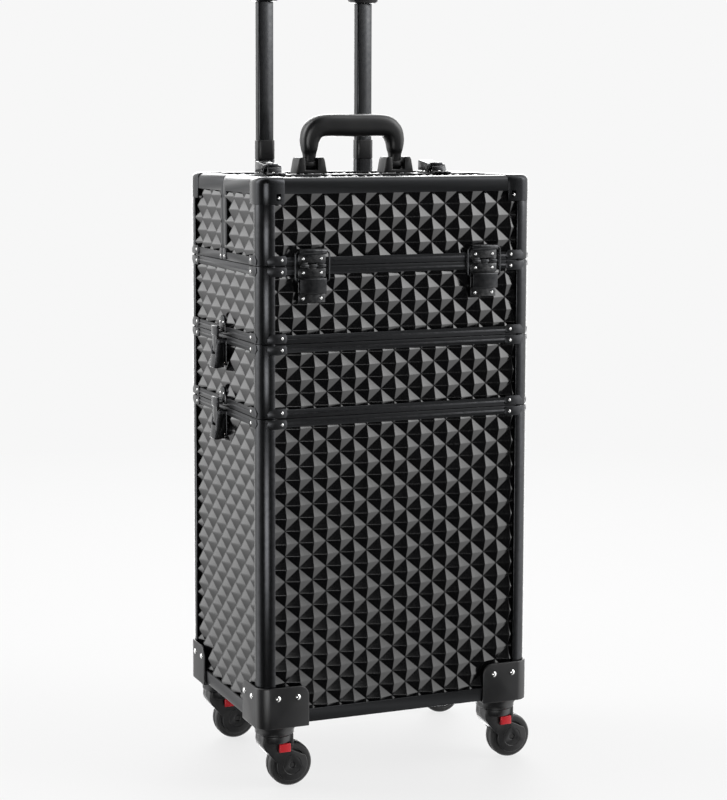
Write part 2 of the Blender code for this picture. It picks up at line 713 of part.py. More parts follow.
def swept(stations, y, steps):
    """Skin oval sections (in-plane and depth radius) along a path in the XZ plane."""
    bm = bmesh.new()
    rings = []
    last = len(stations) - 1
    for i, (x, z, flat, deep) in enumerate(stations):
        ahead = stations[min(i + 1, last)]
        behind = stations[max(i - 1, 0)]
        along = Vector((ahead[0] - behind[0], 0.0, ahead[1] - behind[1])).normalized()
        across = Vector((-along.z, 0.0, along.x))
        ring_verts = []
        for k in range(steps):
            angle = 2 * math.pi * k / steps
            offset = across * (flat * math.cos(angle)) + Vector((0, deep * math.sin(angle), 0))
            ring_verts.append(bm.verts.new(Vector((x, y, z)) + offset))
        rings.append(ring_verts)
    for one, two in zip(rings, rings[1:]):
        for k in range(steps):
            j = (k + 1) % steps
            bm.faces.new((one[k], one[j], two[j], two[k]))
    bm.faces.new(rings[0])
    bm.faces.new(rings[-1])
    return as_object("sweep", bm)


def handle_bracket(x):
    """Tapered U bracket with an ear on each side of a handle leg."""
    low = Z_END + 0.0003
    high = Z_END + 0.0195
    outline = [
        (x - 0.0195, low), (x + 0.0195, low), (x + 0.0155, high), (x + 0.0082, high),
        (x + 0.0078, low + 0.0045), (x - 0.0078, low + 0.0045), (x - 0.0082, high), (x - 0.0155, high),
    ]
    return prism(outline, "Y", HANDLE_Y - 0.0110, HANDLE_Y + 0.0110)


def build_handle(plastic):
    centre = HANDLE_OUT - 0.0115
    pivot = (0.0, HANDLE_Y, Z_END + HANDLE_PIVOT)
    finish(handle_piece(), "carry_handle", plastic, pivot)
    for side, x in (("left", -centre), ("right", centre)):
        finish(handle_bracket(x), "handle_bracket_" + side, plastic)


def link_piece(y_foot):
    """A pair of tray arms joined by their pivot rod, leaning inward over the box."""
    z = Z_LID - LINK_DROP
    lean = (math.sin(LINK_LEAN), math.cos(LINK_LEAN))
    far = (y_foot + LINK_LONG * lean[0], z + LINK_LONG * lean[1])
    near = (y_foot + LINK_SHORT * lean[0], z + LINK_SHORT * lean[1])
    angle = 90.0 - math.degrees(LINK_LEAN)
    outline = disc_points(y_foot, z, 0.004, 6, angle + 90.0, angle + 270.0)
    outline += disc_points(far[0], far[1], 0.004, 6, angle - 90.0, angle + 90.0)
    rod_end = X_FACE - ROOM_IN - GAP
    frame = rod("X", y_foot, z, 0.002, -rod_end, rod_end, 10)
    for side in (-1, 1):
        edges = sorted((side * LINK_X, side * (LINK_X + 0.002)))
        join(frame, prism(outline, "X", edges[0], edges[1]))
        pins = sorted((side * (TRAY_X + GAP), side * (LINK_X + 0.001)))
        for spot in (near, far):
            join(frame, rod("X", spot[0], spot[1], 0.0018, pins[0], pins[1], 8))
    return frame


def tray_piece(reach):
    """Open tray with two dividers, hung at its middle height on the arms."""
    z_pin = Z_LID - LINK_DROP + reach * math.cos(LINK_LEAN)
    low = z_pin - TRAY_H / 2
    high = z_pin + TRAY_H / 2
    y_low = -TRAY_Y[1]
    y_high = -TRAY_Y[0]
    wall = TRAY_T
    tray = box((-TRAY_X, y_low, low), (TRAY_X, y_high, high))
    split = TRAY_X / 3
    rooms = ((-TRAY_X + wall, -split - wall / 2), (-split + wall / 2, split - wall / 2),
             (split + wall / 2, TRAY_X - wall))
    for start, end in rooms:
        cut(tray, box((start, y_low + wall, low + wall), (end, y_high - wall, high + 0.01)))
    return tray


def build_trays(metal, plastic):
    z = Z_LID - LINK_DROP
    for half, sy in (("front", 1), ("rear", -1)):
        for name, foot in (("outer", -LINK_Y), ("inner", -LINK_Y + LINK_STEP)):
            item = link_piece(foot)
            if half == "rear":
                mirrored_y(item)
            finish(item, "%s_link_%s" % (half, name), metal, (0.0, sy * foot, z))
        for name, reach in (("lower", LINK_SHORT), ("upper", LINK_LONG)):
            item = tray_piece(reach)
            if half == "rear":
                mirrored_y(item)
            y = sy * (-LINK_Y + reach * math.sin(LINK_LEAN))
            spot = (0.0, y, z + reach * math.cos(LINK_LEAN))
            finish(item, "%s_tray_%s" % (half, name), plastic, spot)


def centre_on_floor():
    """Shift the whole case so that its bounding box is centred over the origin."""
    bpy.context.view_layer.update()
    low = Vector((10.0, 10.0, 10.0))
    high = -low
    for item in bpy.context.scene.objects:
        for corner in item.bound_box:
            point = item.matrix_world @ Vector(corner)
            low = Vector(map(min, low, point))
            high = Vector(map(max, high, point))
    shift = Vector((-(low.x + high.x) / 2, -(low.y + high.y) / 2, 0.0))
    for item in bpy.context.scene.objects:
        item.location += shift


def main():
    clear_scene()
    frame = make_material("frame_aluminium", (0.028, 0.029, 0.031), 0.34, 0.6)
    panel = make_material("panel_gloss", (0.012, 0.012, 0.013), 0.18)
    steel = make_material("latch_steel", (0.060, 0.061, 0.063), 0.32, 0.8)
    moulded = make_material("moulded_plastic", (0.020, 0.020, 0.021), 0.42)
    rubber = make_material("wheel_rubber", (0.018, 0.018, 0.019), 0.55)
    red = make_material("release_red", (0.55, 0.02, 0.03), 0.35)
    tube = make_material("tube_aluminium", (0.035, 0.036, 0.038), 0.30, 0.6)
    tray = make_material("tray_plastic", (0.030, 0.030, 0.031), 0.50)
    build_sections(frame, panel)
    build_lids(frame, panel)
    build_rings(steel)
    build_latches(steel)
    build_casters(moulded, rubber, red)
    build_trolley(tube, moulded, moulded)
    build_handle(moulded)
    build_trays(steel, tray)
    centre_on_floor()


main()
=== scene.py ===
"""Looks for the rolling makeup train case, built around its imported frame."""

import json
import math

import bmesh
import bpy
from mathutils import Matrix, Vector

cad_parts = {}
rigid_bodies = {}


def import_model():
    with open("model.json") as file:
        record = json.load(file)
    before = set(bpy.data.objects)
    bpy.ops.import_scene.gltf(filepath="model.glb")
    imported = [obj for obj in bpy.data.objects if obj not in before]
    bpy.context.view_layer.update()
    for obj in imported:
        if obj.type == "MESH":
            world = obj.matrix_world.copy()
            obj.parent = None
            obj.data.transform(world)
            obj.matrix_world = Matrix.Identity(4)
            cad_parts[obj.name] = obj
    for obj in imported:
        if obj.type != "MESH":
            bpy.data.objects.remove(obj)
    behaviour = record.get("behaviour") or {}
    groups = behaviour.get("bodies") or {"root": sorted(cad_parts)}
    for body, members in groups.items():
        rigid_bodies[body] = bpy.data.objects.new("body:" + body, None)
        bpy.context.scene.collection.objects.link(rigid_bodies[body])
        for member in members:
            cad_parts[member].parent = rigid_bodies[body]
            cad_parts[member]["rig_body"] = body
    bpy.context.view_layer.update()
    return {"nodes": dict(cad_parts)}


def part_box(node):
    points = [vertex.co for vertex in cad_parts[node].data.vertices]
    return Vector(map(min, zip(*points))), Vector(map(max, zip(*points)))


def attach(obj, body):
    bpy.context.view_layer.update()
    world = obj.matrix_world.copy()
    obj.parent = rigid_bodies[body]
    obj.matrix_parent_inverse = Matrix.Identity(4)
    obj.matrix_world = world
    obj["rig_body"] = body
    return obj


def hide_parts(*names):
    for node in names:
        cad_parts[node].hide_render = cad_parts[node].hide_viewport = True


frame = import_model()


def middle(node):
    """A part's centre in X and Y, about the case's centre."""
    low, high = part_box(node)
    return (low.x + high.x) / 2, (low.y + high.y) / 2 - Y_MID


# Sizes read from the frame. Pieces are drawn about the case's centre and shifted by Y_MID.
SHELL_IN = 0.0033
SEAM = 0.0006
PANEL_T = 0.004
base_low, base_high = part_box("base_shell")
lid_low, lid_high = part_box("front_lid_shell")
X_FACE = base_high.x + SHELL_IN
Y_MID = (base_low.y + base_high.y) / 2
Y_FACE = base_high.y - Y_MID + SHELL_IN
Z_CASE = base_low.z
Z_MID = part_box("mid_shell")[0].z - SEAM
Z_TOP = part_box("top_shell")[0].z - SEAM
Z_LID = lid_low.z - SEAM
Z_END = lid_high.z + SHELL_IN

# Frame extrusions.
CORNER_R = 0.013
POST = 0.018
POST_PROUD = 0.0006
RAIL = 0.0095
TOP_RAIL = 0.018
BOTTOM_RAIL = 0.015
FRAME_T = 0.003
LID_EDGE_R = 0.007
CAP_L = 0.0295
BEAD_PROUD = 0.0007

# Diamond relief.
DIAMOND_W = 0.0332
DIAMOND_H = 0.0290
DIAMOND_RISE = 0.0050
END_RISE = 0.0071
FRONT_ROUND = 0.00045
END_ROUND = 0.0011
VALLEY_IN = 0.0056
# Panels reach past their window and lap behind its rails. The lining lies behind them.
WINDOW_REACH = 0.004
WINDOW_LAP = 0.003
TOP_BAND = 0.016
LINING_OUT = VALLEY_IN + 0.0013
LINING_IN = 0.0085

# How far the diamonds on each section's front and rear are slid sideways and up.
SLIDE = {"base": (0.0050, -0.0145), "mid": (0.0060, 0.0), "top": (0.0133, 0.0), "lid": (0.0020, -0.0072)}

# Hardware.
HINGE_X = middle("front_ring_right")[0]
HINGE_W = 0.033
KNUCKLE_OUT = 0.0035
KNUCKLE_R = 0.0022
TOP_LATCH_X = middle("top_right_latch_hook")[0]
LEVER_U = -0.007
LEVER_N = 0.0065
HOOK_U = -0.0175
HOOK_N = 0.008
RIVET_R = 0.0019
CAP_RIVET_R = 0.0017
BRACKET_IN = 0.0215
BRACKET_GAP = 0.0004
TRAIL = 0.017
GUARD_OUT = 0.0033
NECK_R = 0.0195

CORNERS = {
    "front_left": (-1, -1),
    "front_right": (1, -1),
    "rear_left": (-1, 1),
    "rear_right": (1, 1),
}


# Studio. The floor glows a little and fades into the backdrop between the two distances.
FLOOR_GLOW = 0.765
FLOOR_NEAR = 0.7
FLOOR_FAR = 2.2
BACKDROP = 0.93
WORLD_LEVEL = 3.0
# Direction in degrees from the front, positive to the right, and the light level there.
AROUND_LEVELS = (
    (-180, 0.55), (-164, 0.28), (-146, 0.40), (-128, 1.0), (-108, 0.85), (-84, 0.08), (-56, 0.01),
    (14, 0.01), (34, 0.22), (52, 1.0), (80, 0.85), (110, 0.40), (150, 0.95), (180, 0.55),
)
# Sine of the height above the horizon, and the share of the level there.
HEIGHT_LEVELS = ((-1.0, 0.35), (-0.45, 0.65), (-0.05, 0.9), (0.35, 1.2), (0.75, 0.9), (1.0, 0.5))
# Soft boxes: direction, half width, height and half height in degrees, then level.
SOFTBOXES = (
    (-22, 24, -5, 16, 6.0),
    (58, 16, 30, 26, 3.5),
    (160, 30, 0, 60, 4.5),
    (-118, 22, 40, 40, 2.5),
)


# Materials.


def feed(tree, target, values):
    """Set a node's inputs: other nodes' outputs are linked, plain values set on the socket."""
    for name, value in values.items():
        if isinstance(value, bpy.types.NodeSocket):
            tree.links.new(value, target.inputs[name])
        else:
            target.inputs[name].default_value = value


def new_node(tree, kind, values=None, **settings):
    made = tree.nodes.new("ShaderNode" + kind)
    for name, value in settings.items():
        setattr(made, name, value)
    feed(tree, made, values or {})
    return made


def calculated(tree, operation, *values):
    made = new_node(tree, "Math", dict(enumerate(values)), operation=operation)
    return made.outputs["Value"]


def new_material(name):
    material = bpy.data.materials.new(name)
    material.use_nodes = True
    return material, material.node_tree, material.node_tree.nodes["Principled BSDF"]


def noise(tree, scale, detail=3.0, stretch=(1.0, 1.0, 1.0)):
    """Object-space noise; stretch below 1 draws it out along that axis."""
    place = new_node(tree, "TexCoord").outputs["Object"]
    mapping = new_node(tree, "Mapping", {"Vector": place, "Scale": stretch})
    texture = new_node(tree, "TexNoise", {"Vector": mapping.outputs["Vector"], "Scale": scale,
                                          "Detail": detail})
    return texture.outputs["Fac"]


def remap(tree, value, low, high, from_low=0.3, from_high=0.7):
    made = new_node(tree, "MapRange", {"Value": value, "From Min": from_low, "From Max": from_high,
                                       "To Min": low, "To Max": high})
    return made.outputs["Result"]


def colour_between(tree, value, one, two):
    """Mix of two colours: sockets 6 and 7 are the colour inputs, output 2 the colour."""
    made = new_node(tree, "Mix", data_type="RGBA")
    feed(tree, made, {"Factor": value, 6: (*one, 1.0), 7: (*two, 1.0)})
    return made.outputs[2]


def bumped(tree, value, strength, distance):
    made = new_node(tree, "Bump", {"Height": value, "Strength": strength, "Distance": distance})
    return made.outputs["Normal"]


def edge_wear(tree, low, high):
    """Where an edge is sharp enough to have lost its finish, broken up by noise."""
    point = new_node(tree, "NewGeometry").outputs["Pointiness"]
    edge = remap(tree, point, 0.0, 1.0, low, high)
    return calculated(tree, "MULTIPLY", edge, remap(tree, noise(tree, 190.0), 0.0, 1.0))


def satin_metal(name, dark, light, rough, stretch):
    """Black anodised or plated metal with drawn grain and slightly bright edges."""
    material, tree, shader = new_material(name)
    grain = noise(tree, 900.0, 4.0, stretch)
    feed(tree, shader, {
        "Roughness": remap(tree, grain, rough - 0.02, rough + 0.03),
        "Base Color": colour_between(tree, edge_wear(tree, 0.53, 0.62), dark, light),
        "Metallic": 0.9,
        "Specular IOR Level": 0.5,
        "Normal": bumped(tree, grain, 0.03, 0.0001),
    })
    return material


def panel_film():
    """Glossy black film pressed over the diamonds, with faint ripples and smudges."""
    material, tree, shader = new_material("panel_gloss")
    smudge = noise(tree, 26.0, 5.0)
    feed(tree, shader, {
        "Roughness": remap(tree, smudge, 0.13, 0.19),
        "Base Color": colour_between(tree, smudge, (0.0022, 0.0022, 0.0025), (0.0034, 0.0034, 0.0038)),
        "Specular IOR Level": 0.55,
        "Normal": bumped(tree, noise(tree, 320.0, 2.0), 0.06, 0.0004),
    })
    return material


def bright_steel():
    material, tree, shader = new_material("rivet_nickel")
    grain = noise(tree, 700.0, 3.0)
    feed(tree, shader, {
        "Roughness": remap(tree, grain, 0.16, 0.28),
        "Base Color": colour_between(tree, grain, (0.60, 0.60, 0.60), (0.78, 0.78, 0.77)),
        "Metallic": 1.0,
    })
    return material


def moulded(name, dark, light, rough, grain_scale=1500.0, depth=0.00015, strength=0.35):
    """Moulded plastic with a fine spark-eroded grain."""
    material, tree, shader = new_material(name)
    cloud = noise(tree, 40.0, 3.0)
    feed(tree, shader, {
        "Roughness": remap(tree, cloud, rough - 0.04, rough + 0.05),
        "Base Color": colour_between(tree, cloud, dark, light),
        "Specular IOR Level": 0.5,
        "Normal": bumped(tree, noise(tree, grain_scale, 2.0), strength, depth),
    })
    return material


def lining_cloth():
    """Short black flock that lines the inside of the sections."""
    material, tree, shader = new_material("lining_flock")
    fibre = noise(tree, 2200.0, 4.0, (1.0, 1.0, 0.35))
    feed(tree, shader, {
        "Base Color": colour_between(tree, fibre, (0.010, 0.010, 0.011), (0.030, 0.030, 0.032)),
        "Roughness": 0.95,
        "Sheen Weight": 0.25,
        "Normal": bumped(tree, fibre, 0.6, 0.0004),
    })
    return material


def floor_paint():
    """Light floor that glows a little and fades into the backdrop with distance."""
    material, tree, shader = new_material("studio_floor")
    feed(tree, shader, {
        "Base Color": colour_between(tree, noise(tree, 3.0, 2.0), (0.087,) * 3, (0.091,) * 3),
        "Emission Color": (1.0, 1.0, 1.0, 1.0),
        "Emission Strength": FLOOR_GLOW,
        "Roughness": 0.9,
        "Specular IOR Level": 0.1,
    })
    place = new_node(tree, "NewGeometry").outputs["Position"]
    distance = new_node(tree, "VectorMath", {0: place}, operation="LENGTH").outputs["Value"]
    plain = new_node(tree, "Emission", {"Color": (BACKDROP, BACKDROP, BACKDROP, 1.0)})
    both = new_node(tree, "MixShader", {"Fac": remap(tree, distance, 0.0, 1.0, FLOOR_NEAR, FLOOR_FAR),
                                        1: shader.outputs["BSDF"], 2: plain.outputs["Emission"]})
    feed(tree, tree.nodes["Material Output"], {"Surface": both.outputs["Shader"]})
    return material


ALONG_Z = (1.0, 1.0, 0.02)
ALONG_X = (0.02, 1.0, 1.0)
METAL = satin_metal("frame_aluminium", (0.030, 0.031, 0.033), (0.09, 0.09, 0.095), 0.24, ALONG_Z)
RAILS = satin_metal("rail_aluminium", (0.034, 0.035, 0.037), (0.09, 0.09, 0.095), 0.30, ALONG_X)
STEEL = satin_metal("latch_steel", (0.026, 0.027, 0.029), (0.16, 0.16, 0.16), 0.24, (0.2, 1.0, 1.0))
TUBE = satin_metal("tube_aluminium", (0.030, 0.031, 0.033), (0.08, 0.08, 0.08), 0.26, ALONG_Z)
PANEL = panel_film()
NICKEL = bright_steel()
MOULDED = moulded("moulded_plastic", (0.0050, 0.0050, 0.0056), (0.0078, 0.0078, 0.0084), 0.36)
GRIP = moulded("grip_plastic", (0.0040, 0.0040, 0.0045), (0.0065, 0.0065, 0.0070), 0.34, 1100.0)
TYRE = moulded("wheel_rubber", (0.0050, 0.0050, 0.0055), (0.0085, 0.0085, 0.0085), 0.48, 700.0, 0.0003)
RED = moulded("release_red", (0.42, 0.006, 0.012), (0.52, 0.010, 0.018), 0.28, 900.0, 0.0001, 0.15)
TRAY = moulded("tray_plastic", (0.014, 0.014, 0.015), (0.020, 0.020, 0.021), 0.46, 520.0, 0.0006, 0.5)
LINING = lining_cloth()


# Mesh helpers. Meshes are made about the case's centre, and add() shifts them into the frame.


def add(name, bm, material, body, replaces=(), sharp=34):
    bmesh.ops.remove_doubles(bm, verts=bm.verts[:], dist=0.000004)
    bmesh.ops.dissolve_degenerate(bm, dist=0.000002, edges=bm.edges[:])
    bmesh.ops.recalc_face_normals(bm, faces=bm.faces[:])
    bmesh.ops.translate(bm, verts=bm.verts[:], vec=(0.0, Y_MID, 0.0))
    mesh = bpy.data.meshes.new(name)
    bm.to_mesh(mesh)
    bm.free()
    mesh.materials.append(material)
    mesh.shade_smooth()
    mesh.set_sharp_from_angle(angle=math.radians(sharp))
    item = bpy.data.objects.new(name, mesh)
    bpy.context.scene.collection.objects.link(item)
    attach(item, body)
    if replaces:
        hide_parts(*replaces)
    return item


def merged(*parts):
    """One bmesh from several."""
    whole = bmesh.new()
    for part in parts:
        mesh = bpy.data.meshes.new("part")
        part.to_mesh(mesh)
        part.free()
        whole.from_mesh(mesh)
        bpy.data.meshes.remove(mesh)
    return whole


def moved(bm, matrix):
    bmesh.ops.transform(bm, matrix=matrix, verts=bm.verts[:])
    if matrix.determinant() < 0:
        bmesh.ops.reverse_faces(bm, faces=bm.faces[:])
    return bm


def flip_y(bm):
    return moved(bm, Matrix.Scale(-1.0, 4, (0, 1, 0)))


def flip_x(bm):
    return moved(bm, Matrix.Scale(-1.0, 4, (1, 0, 0)))


def shifted(bm, x, y, z):
    return moved(bm, Matrix.Translation((x, y, z)))


def soften(bm, width, segments=2, angle=28.0):
    """Round every edge sharper than angle."""
    bmesh.ops.remove_doubles(bm, verts=bm.verts[:], dist=0.000004)
    limit = math.radians(angle)
    sharp = [e for e in bm.edges if len(e.link_faces) == 2 and e.calc_face_angle(0.0) > limit]
    bmesh.ops.bevel(bm, geom=sharp, offset=width, segments=segments, profile=0.5,
                    affect="EDGES", clamp_overlap=True)
    return bm


def spot(axis, a, b, c):
    if axis == "X":
        return Vector((c, a, b))
    if axis == "Y":
        return Vector((a, c, b))
    return Vector((a, b, c))


def prism(points, axis, low, high):
    bm = bmesh.new()
    first = [bm.verts.new(spot(axis, a, b, low)) for a, b in points]
    last = [bm.verts.new(spot(axis, a, b, high)) for a, b in points]
    bm.faces.new(first)
    bm.faces.new(last)
    count = len(points)
    for i in range(count):
        j = (i + 1) % count
        bm.faces.new((first[i], first[j], last[j], last[i]))
    bmesh.ops.recalc_face_normals(bm, faces=bm.faces[:])
    return bm


def box(low, high):
    corners = [(low[0], low[1]), (high[0], low[1]), (high[0], high[1]), (low[0], high[1])]
    return prism(corners, "Z", low[2], high[2])


def round_rect(width, depth, radius, steps=10, centre=(0.0, 0.0)):
    points = []
    for turn, (sx, sy) in enumerate(((1, 1), (-1, 1), (-1, -1), (1, -1))):
        cx = centre[0] + sx * (width / 2 - radius)
        cy = centre[1] + sy * (depth / 2 - radius)
        for i in range(steps + 1):
            angle = math.pi / 2 * (turn + i / steps)
            points.append((cx + radius * math.cos(angle), cy + radius * math.sin(angle)))
    return points


def arc(a, b, radius, steps=24, start=0.0, end=360.0):
    whole = abs(end - start) >= 360.0
    points = []
    for i in range(steps if whole else steps + 1):
        angle = math.radians(start + (end - start) * i / steps)
        points.append((a + radius * math.cos(angle), b + radius * math.sin(angle)))
    return points


def rod(axis, a, b, radius, low, high, steps=32):
    return prism(arc(a, b, radius, steps), axis, low, high)


def turned(profile, steps=48):
    """Turn a (radius, height) profile about Z."""
    bm = bmesh.new()
    verts = [bm.verts.new((r, 0.0, h)) for r, h in profile]
    edges = [bm.edges.new(pair) for pair in zip(verts, verts[1:])]
    bmesh.ops.spin(bm, geom=verts + edges, axis=(0, 0, 1), cent=(0, 0, 0), steps=steps,
                   angle=2 * math.pi)
    bmesh.ops.remove_doubles(bm, verts=bm.verts[:], dist=0.00001)
    bmesh.ops.recalc_face_normals(bm, faces=bm.faces[:])
    return bm


def boolean(bm, operation, *tools):
    """Cut, join or intersect with other bmeshes through the exact solver."""
    def holder(mesh_from):
        mesh = bpy.data.meshes.new("step")
        mesh_from.to_mesh(mesh)
        mesh_from.free()
        item = bpy.data.objects.new("step", mesh)
        bpy.context.scene.collection.objects.link(item)
        return item
    target = holder(bm)
    for tool_mesh in tools:
        tool = holder(tool_mesh)
        step = target.modifiers.new("step", "BOOLEAN")
        step.operation = operation
        step.solver = "EXACT"
        step.object = tool
        graph = bpy.context.evaluated_depsgraph_get()
        mesh = bpy.data.meshes.new_from_object(target.evaluated_get(graph))
        target.modifiers.clear()
        target.data = mesh
        bpy.data.objects.remove(tool, do_unlink=True)
    result = bmesh.new()
    result.from_mesh(target.data)
    bpy.data.objects.remove(target, do_unlink=True)
    return result


def cut(bm, *tools):
    return boolean(bm, "DIFFERENCE", *tools)


def slab(grow, low, high):
    width = 2 * (X_FACE + grow)
    depth = 2 * (Y_FACE + grow)
    return prism(round_rect(width, depth, max(CORNER_R + grow, 0.003)), "Z", low, high)


def lid_block(grow, low, high, edge):
    """The case's outline with its top edges rounded all round."""
    block = slab(grow, low, high)
    top = [e for e in block.edges if all(abs(v.co.z - high) < 1e-6 for v in e.verts)]
    bmesh.ops.bevel(block, geom=top, offset=edge, segments=7, profile=0.5, affect="EDGES")
    bmesh.ops.recalc_face_normals(block, faces=block.faces[:])
    return block


def rivet(radius=RIVET_R, proud=0.0011):
    """Domed rivet head with a thin flat rim, its axis along +Z."""
    profile = [(radius, -0.0003), (radius, proud * 0.25), (radius * 0.94, proud * 0.42)]
    profile += [(radius * 0.80 * math.cos(math.radians(t)), proud * (0.42 + 0.58 * math.sin(math.radians(t))))
                for t in range(15, 90, 15)]
    profile += [(0.0, proud)]
    return turned(profile, 24)


def face_matrix(side, x, y, z):
    """Turn a piece drawn in the XY plane, +Z outward, onto a side of the case."""
    turns = {
        "front": Matrix(((1, 0, 0), (0, 0, -1), (0, 1, 0))),
        "rear": Matrix(((-1, 0, 0), (0, 0, 1), (0, 1, 0))),
        "left": Matrix(((0, 0, -1), (-1, 0, 0), (0, 1, 0))),
        "right": Matrix(((0, 0, 1), (1, 0, 0), (0, 1, 0))),
        "top": Matrix(((1, 0, 0), (0, 1, 0), (0, 0, 1))),
    }
    return Matrix.Translation((x, y, z)) @ turns[side].to_4x4()


def on_face(bm, side, across, z, out=0.0):
    """Place a piece at a distance across a side (left to right as seen) and a height."""
    centre = {
        "front": (across, -Y_FACE - out, z),
        "rear": (-across, Y_FACE + out, z),
        "left": (-X_FACE - out, -across, z),
        "right": (X_FACE + out, across, z),
    }[side]
    return moved(bm, face_matrix(side, *centre))


def copy_node(node, material, width):
    """A finer copy of a frame part: coplanar faces joined and every edge rounded."""
    bm = bmesh.new()
    bm.from_mesh(frame["nodes"][node].data)
    bmesh.ops.translate(bm, verts=bm.verts[:], vec=(0.0, -Y_MID, 0.0))
    bmesh.ops.remove_doubles(bm, verts=bm.verts[:], dist=0.00001)
    bmesh.ops.dissolve_limit(bm, angle_limit=math.radians(1.0), verts=bm.verts[:], edges=bm.edges[:])
    soften(bm, width, 3)
    add(node + "_shape", bm, material, frame["nodes"][node]["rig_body"], (node,))


# Frames.


def cage(low, high, low_rail, high_rail):
    """Upper and lower rails of a section, in one rounded frame with windows between them."""
    body = cut(slab(0.0, low, high), slab(-FRAME_T, low - 0.01, high + 0.01))
    wide = X_FACE - POST
    deep = Y_FACE - POST
    body = cut(body, box((-wide, -1, low + low_rail), (wide, 1, high - high_rail)),
               box((-1, -deep, low + low_rail), (1, deep, high - high_rail)))
    return soften(body, 0.0006)


def corner_posts(low, high):
    """Four rounded corner extrusions over the ends of the rails."""
    ring = cut(slab(POST_PROUD, low, high), slab(-FRAME_T + 0.0004, low - 0.01, high + 0.01))
    wide = X_FACE - POST
    deep = Y_FACE - POST
    ring = cut(ring, box((-wide, -1, low - 0.01), (wide, 1, high + 0.01)),
               box((-1, -deep, low - 0.01), (1, deep, high + 0.01)))
    return soften(ring, 0.0005)


def lip_pieces(low, high):
    """Four beads, one on each side of the case."""
    wide = X_FACE - POST
    deep = Y_FACE - POST
    parts = []
    for sign in (-1, 1):
        y = sorted((sign * (Y_FACE - 0.001), sign * (Y_FACE + BEAD_PROUD)))
        parts.append(soften(box((-wide, y[0], low), (wide, y[1], high)), 0.0004))
    for sign in (-1, 1):
        x = sorted((sign * (X_FACE - 0.001), sign * (X_FACE + BEAD_PROUD)))
        parts.append(soften(box((x[0], -deep, low), (x[1], deep, high)), 0.0004))
    return merged(*parts)


def bracket_plate(up):
    """Half of a corner bracket: a plate with clipped corners, its straight edge on the seam."""
    way = 1 if up else -1
    outline = [(-0.0120, 0.0008), (0.0090, 0.0008), (0.0105, 0.0035), (0.0105, 0.0085),
               (0.0085, 0.0112), (-0.0085, 0.0112), (-0.0130, 0.0060)]
    plate = prism([(a, way * b) for a, b in outline], "Z", -0.0004, 0.0011)
    return soften(plate, 0.0003)


def corner_bracket(side, sign, z, up):
    """One bracket half beside a post, with its rivet, on one side of the case."""
    half = X_FACE if side in ("front", "rear") else Y_FACE
    at = sign * (half - BRACKET_IN)
    plate = bracket_plate(up)
    if sign > 0:
        flip_x(plate)
    rise = 0.0062 if up else -0.0062
    head = on_face(rivet(), side, at - sign * 0.0045, z + rise, 0.0011)
    return on_face(plate, side, at, z), head


def add_brackets(section, body, seams):
    """Corner brackets and rivets: seams holds (height, upper half or not)."""
    pairs = [corner_bracket(side, sign, z, up)
             for z, up in seams for side in ("front", "rear", "left", "right") for sign in (-1, 1)]
    add(section + "_brackets", merged(*[plate for plate, head in pairs]), RAILS, body)
    add(section + "_bracket_rivets", merged(*[head for plate, head in pairs]), NICKEL, body)


# Diamond relief panels.


def relief(width, height, shift_a=0.0, shift_b=0.0, peak=DIAMOND_RISE, rounding=FRONT_ROUND):
    """A sheet of four-sided pyramids in offset rows, centred in the XY plane, apexes at +Z."""
    step_a = DIAMOND_W / 2
    step_b = DIAMOND_H / 2
    count_a = int(width / 2 / step_a) + 2
    count_b = int(height / 2 / step_b) + 2
    bm = bmesh.new()
    grid = {}
    for i in range(-count_a, count_a + 1):
        for j in range(-count_b, count_b + 1):
            rise = peak if (i + j) % 2 else 0.0
            grid[i, j] = bm.verts.new((i * step_a + shift_a, j * step_b + shift_b, rise))
    for i in range(-count_a, count_a):
        for j in range(-count_b, count_b):
            a, b = grid[i, j], grid[i + 1, j]
            c, d = grid[i + 1, j + 1], grid[i, j + 1]
            for face in (((a, b, d), (b, c, d)) if (i + j) % 2 else ((a, b, c), (a, c, d))):
                bm.faces.new(face)
    bmesh.ops.bevel(bm, geom=bm.edges[:], offset=rounding, segments=2, profile=0.6,
                    affect="EDGES", clamp_overlap=True)
    for normal, distance in (((1, 0, 0), width / 2), ((-1, 0, 0), width / 2),
                             ((0, 1, 0), height / 2), ((0, -1, 0), height / 2)):
        geom = bm.verts[:] + bm.edges[:] + bm.faces[:]
        bmesh.ops.bisect_plane(bm, geom=geom, dist=0.000002, plane_co=Vector(normal) * distance,
                               plane_no=normal, clear_outer=True)
    return bm


def backed(bm, depth=0.0012):
    """Close a relief sheet with a skirt and a flat back."""
    rim = [e for e in bm.edges if e.is_boundary]
    made = bmesh.ops.extrude_edge_only(bm, edges=rim)
    verts = [v for v in made["geom"] if isinstance(v, bmesh.types.BMVert)]
    for v in verts:
        v.co.z = -depth
    rim = [e for e in made["geom"] if isinstance(e, bmesh.types.BMEdge)]
    bmesh.ops.contextual_create(bm, geom=[e for e in rim if e.is_boundary])
    return bm


def add_relief(name, body, low, high, slide):
    """Relief panels behind the four windows of a section."""
    parts = []
    height = high - low
    phase = DIAMOND_W / 4
    for side in ("front", "rear", "left", "right"):
        if side in ("left", "right"):
            width = 2 * (Y_FACE - POST + WINDOW_REACH)
            sheet = relief(width, height, -phase, 0.0, END_RISE, END_ROUND)
        else:
            width = 2 * (X_FACE - POST + WINDOW_REACH)
            sheet = relief(width, height, slide[0] - phase, slide[1])
        parts.append(on_face(backed(sheet), side, 0.0, (low + high) / 2, -VALLEY_IN))
    add(name, merged(*parts), PANEL, body, sharp=30)


def tub(name, body, low, high, node):
    """Flocked lining board of a section: walls and floor."""
    block = cut(slab(-LINING_OUT, low, high), slab(-LINING_IN, low + PANEL_T, high + 0.01))
    add(name, soften(block, 0.0005), LINING, body, replaces=(node,))


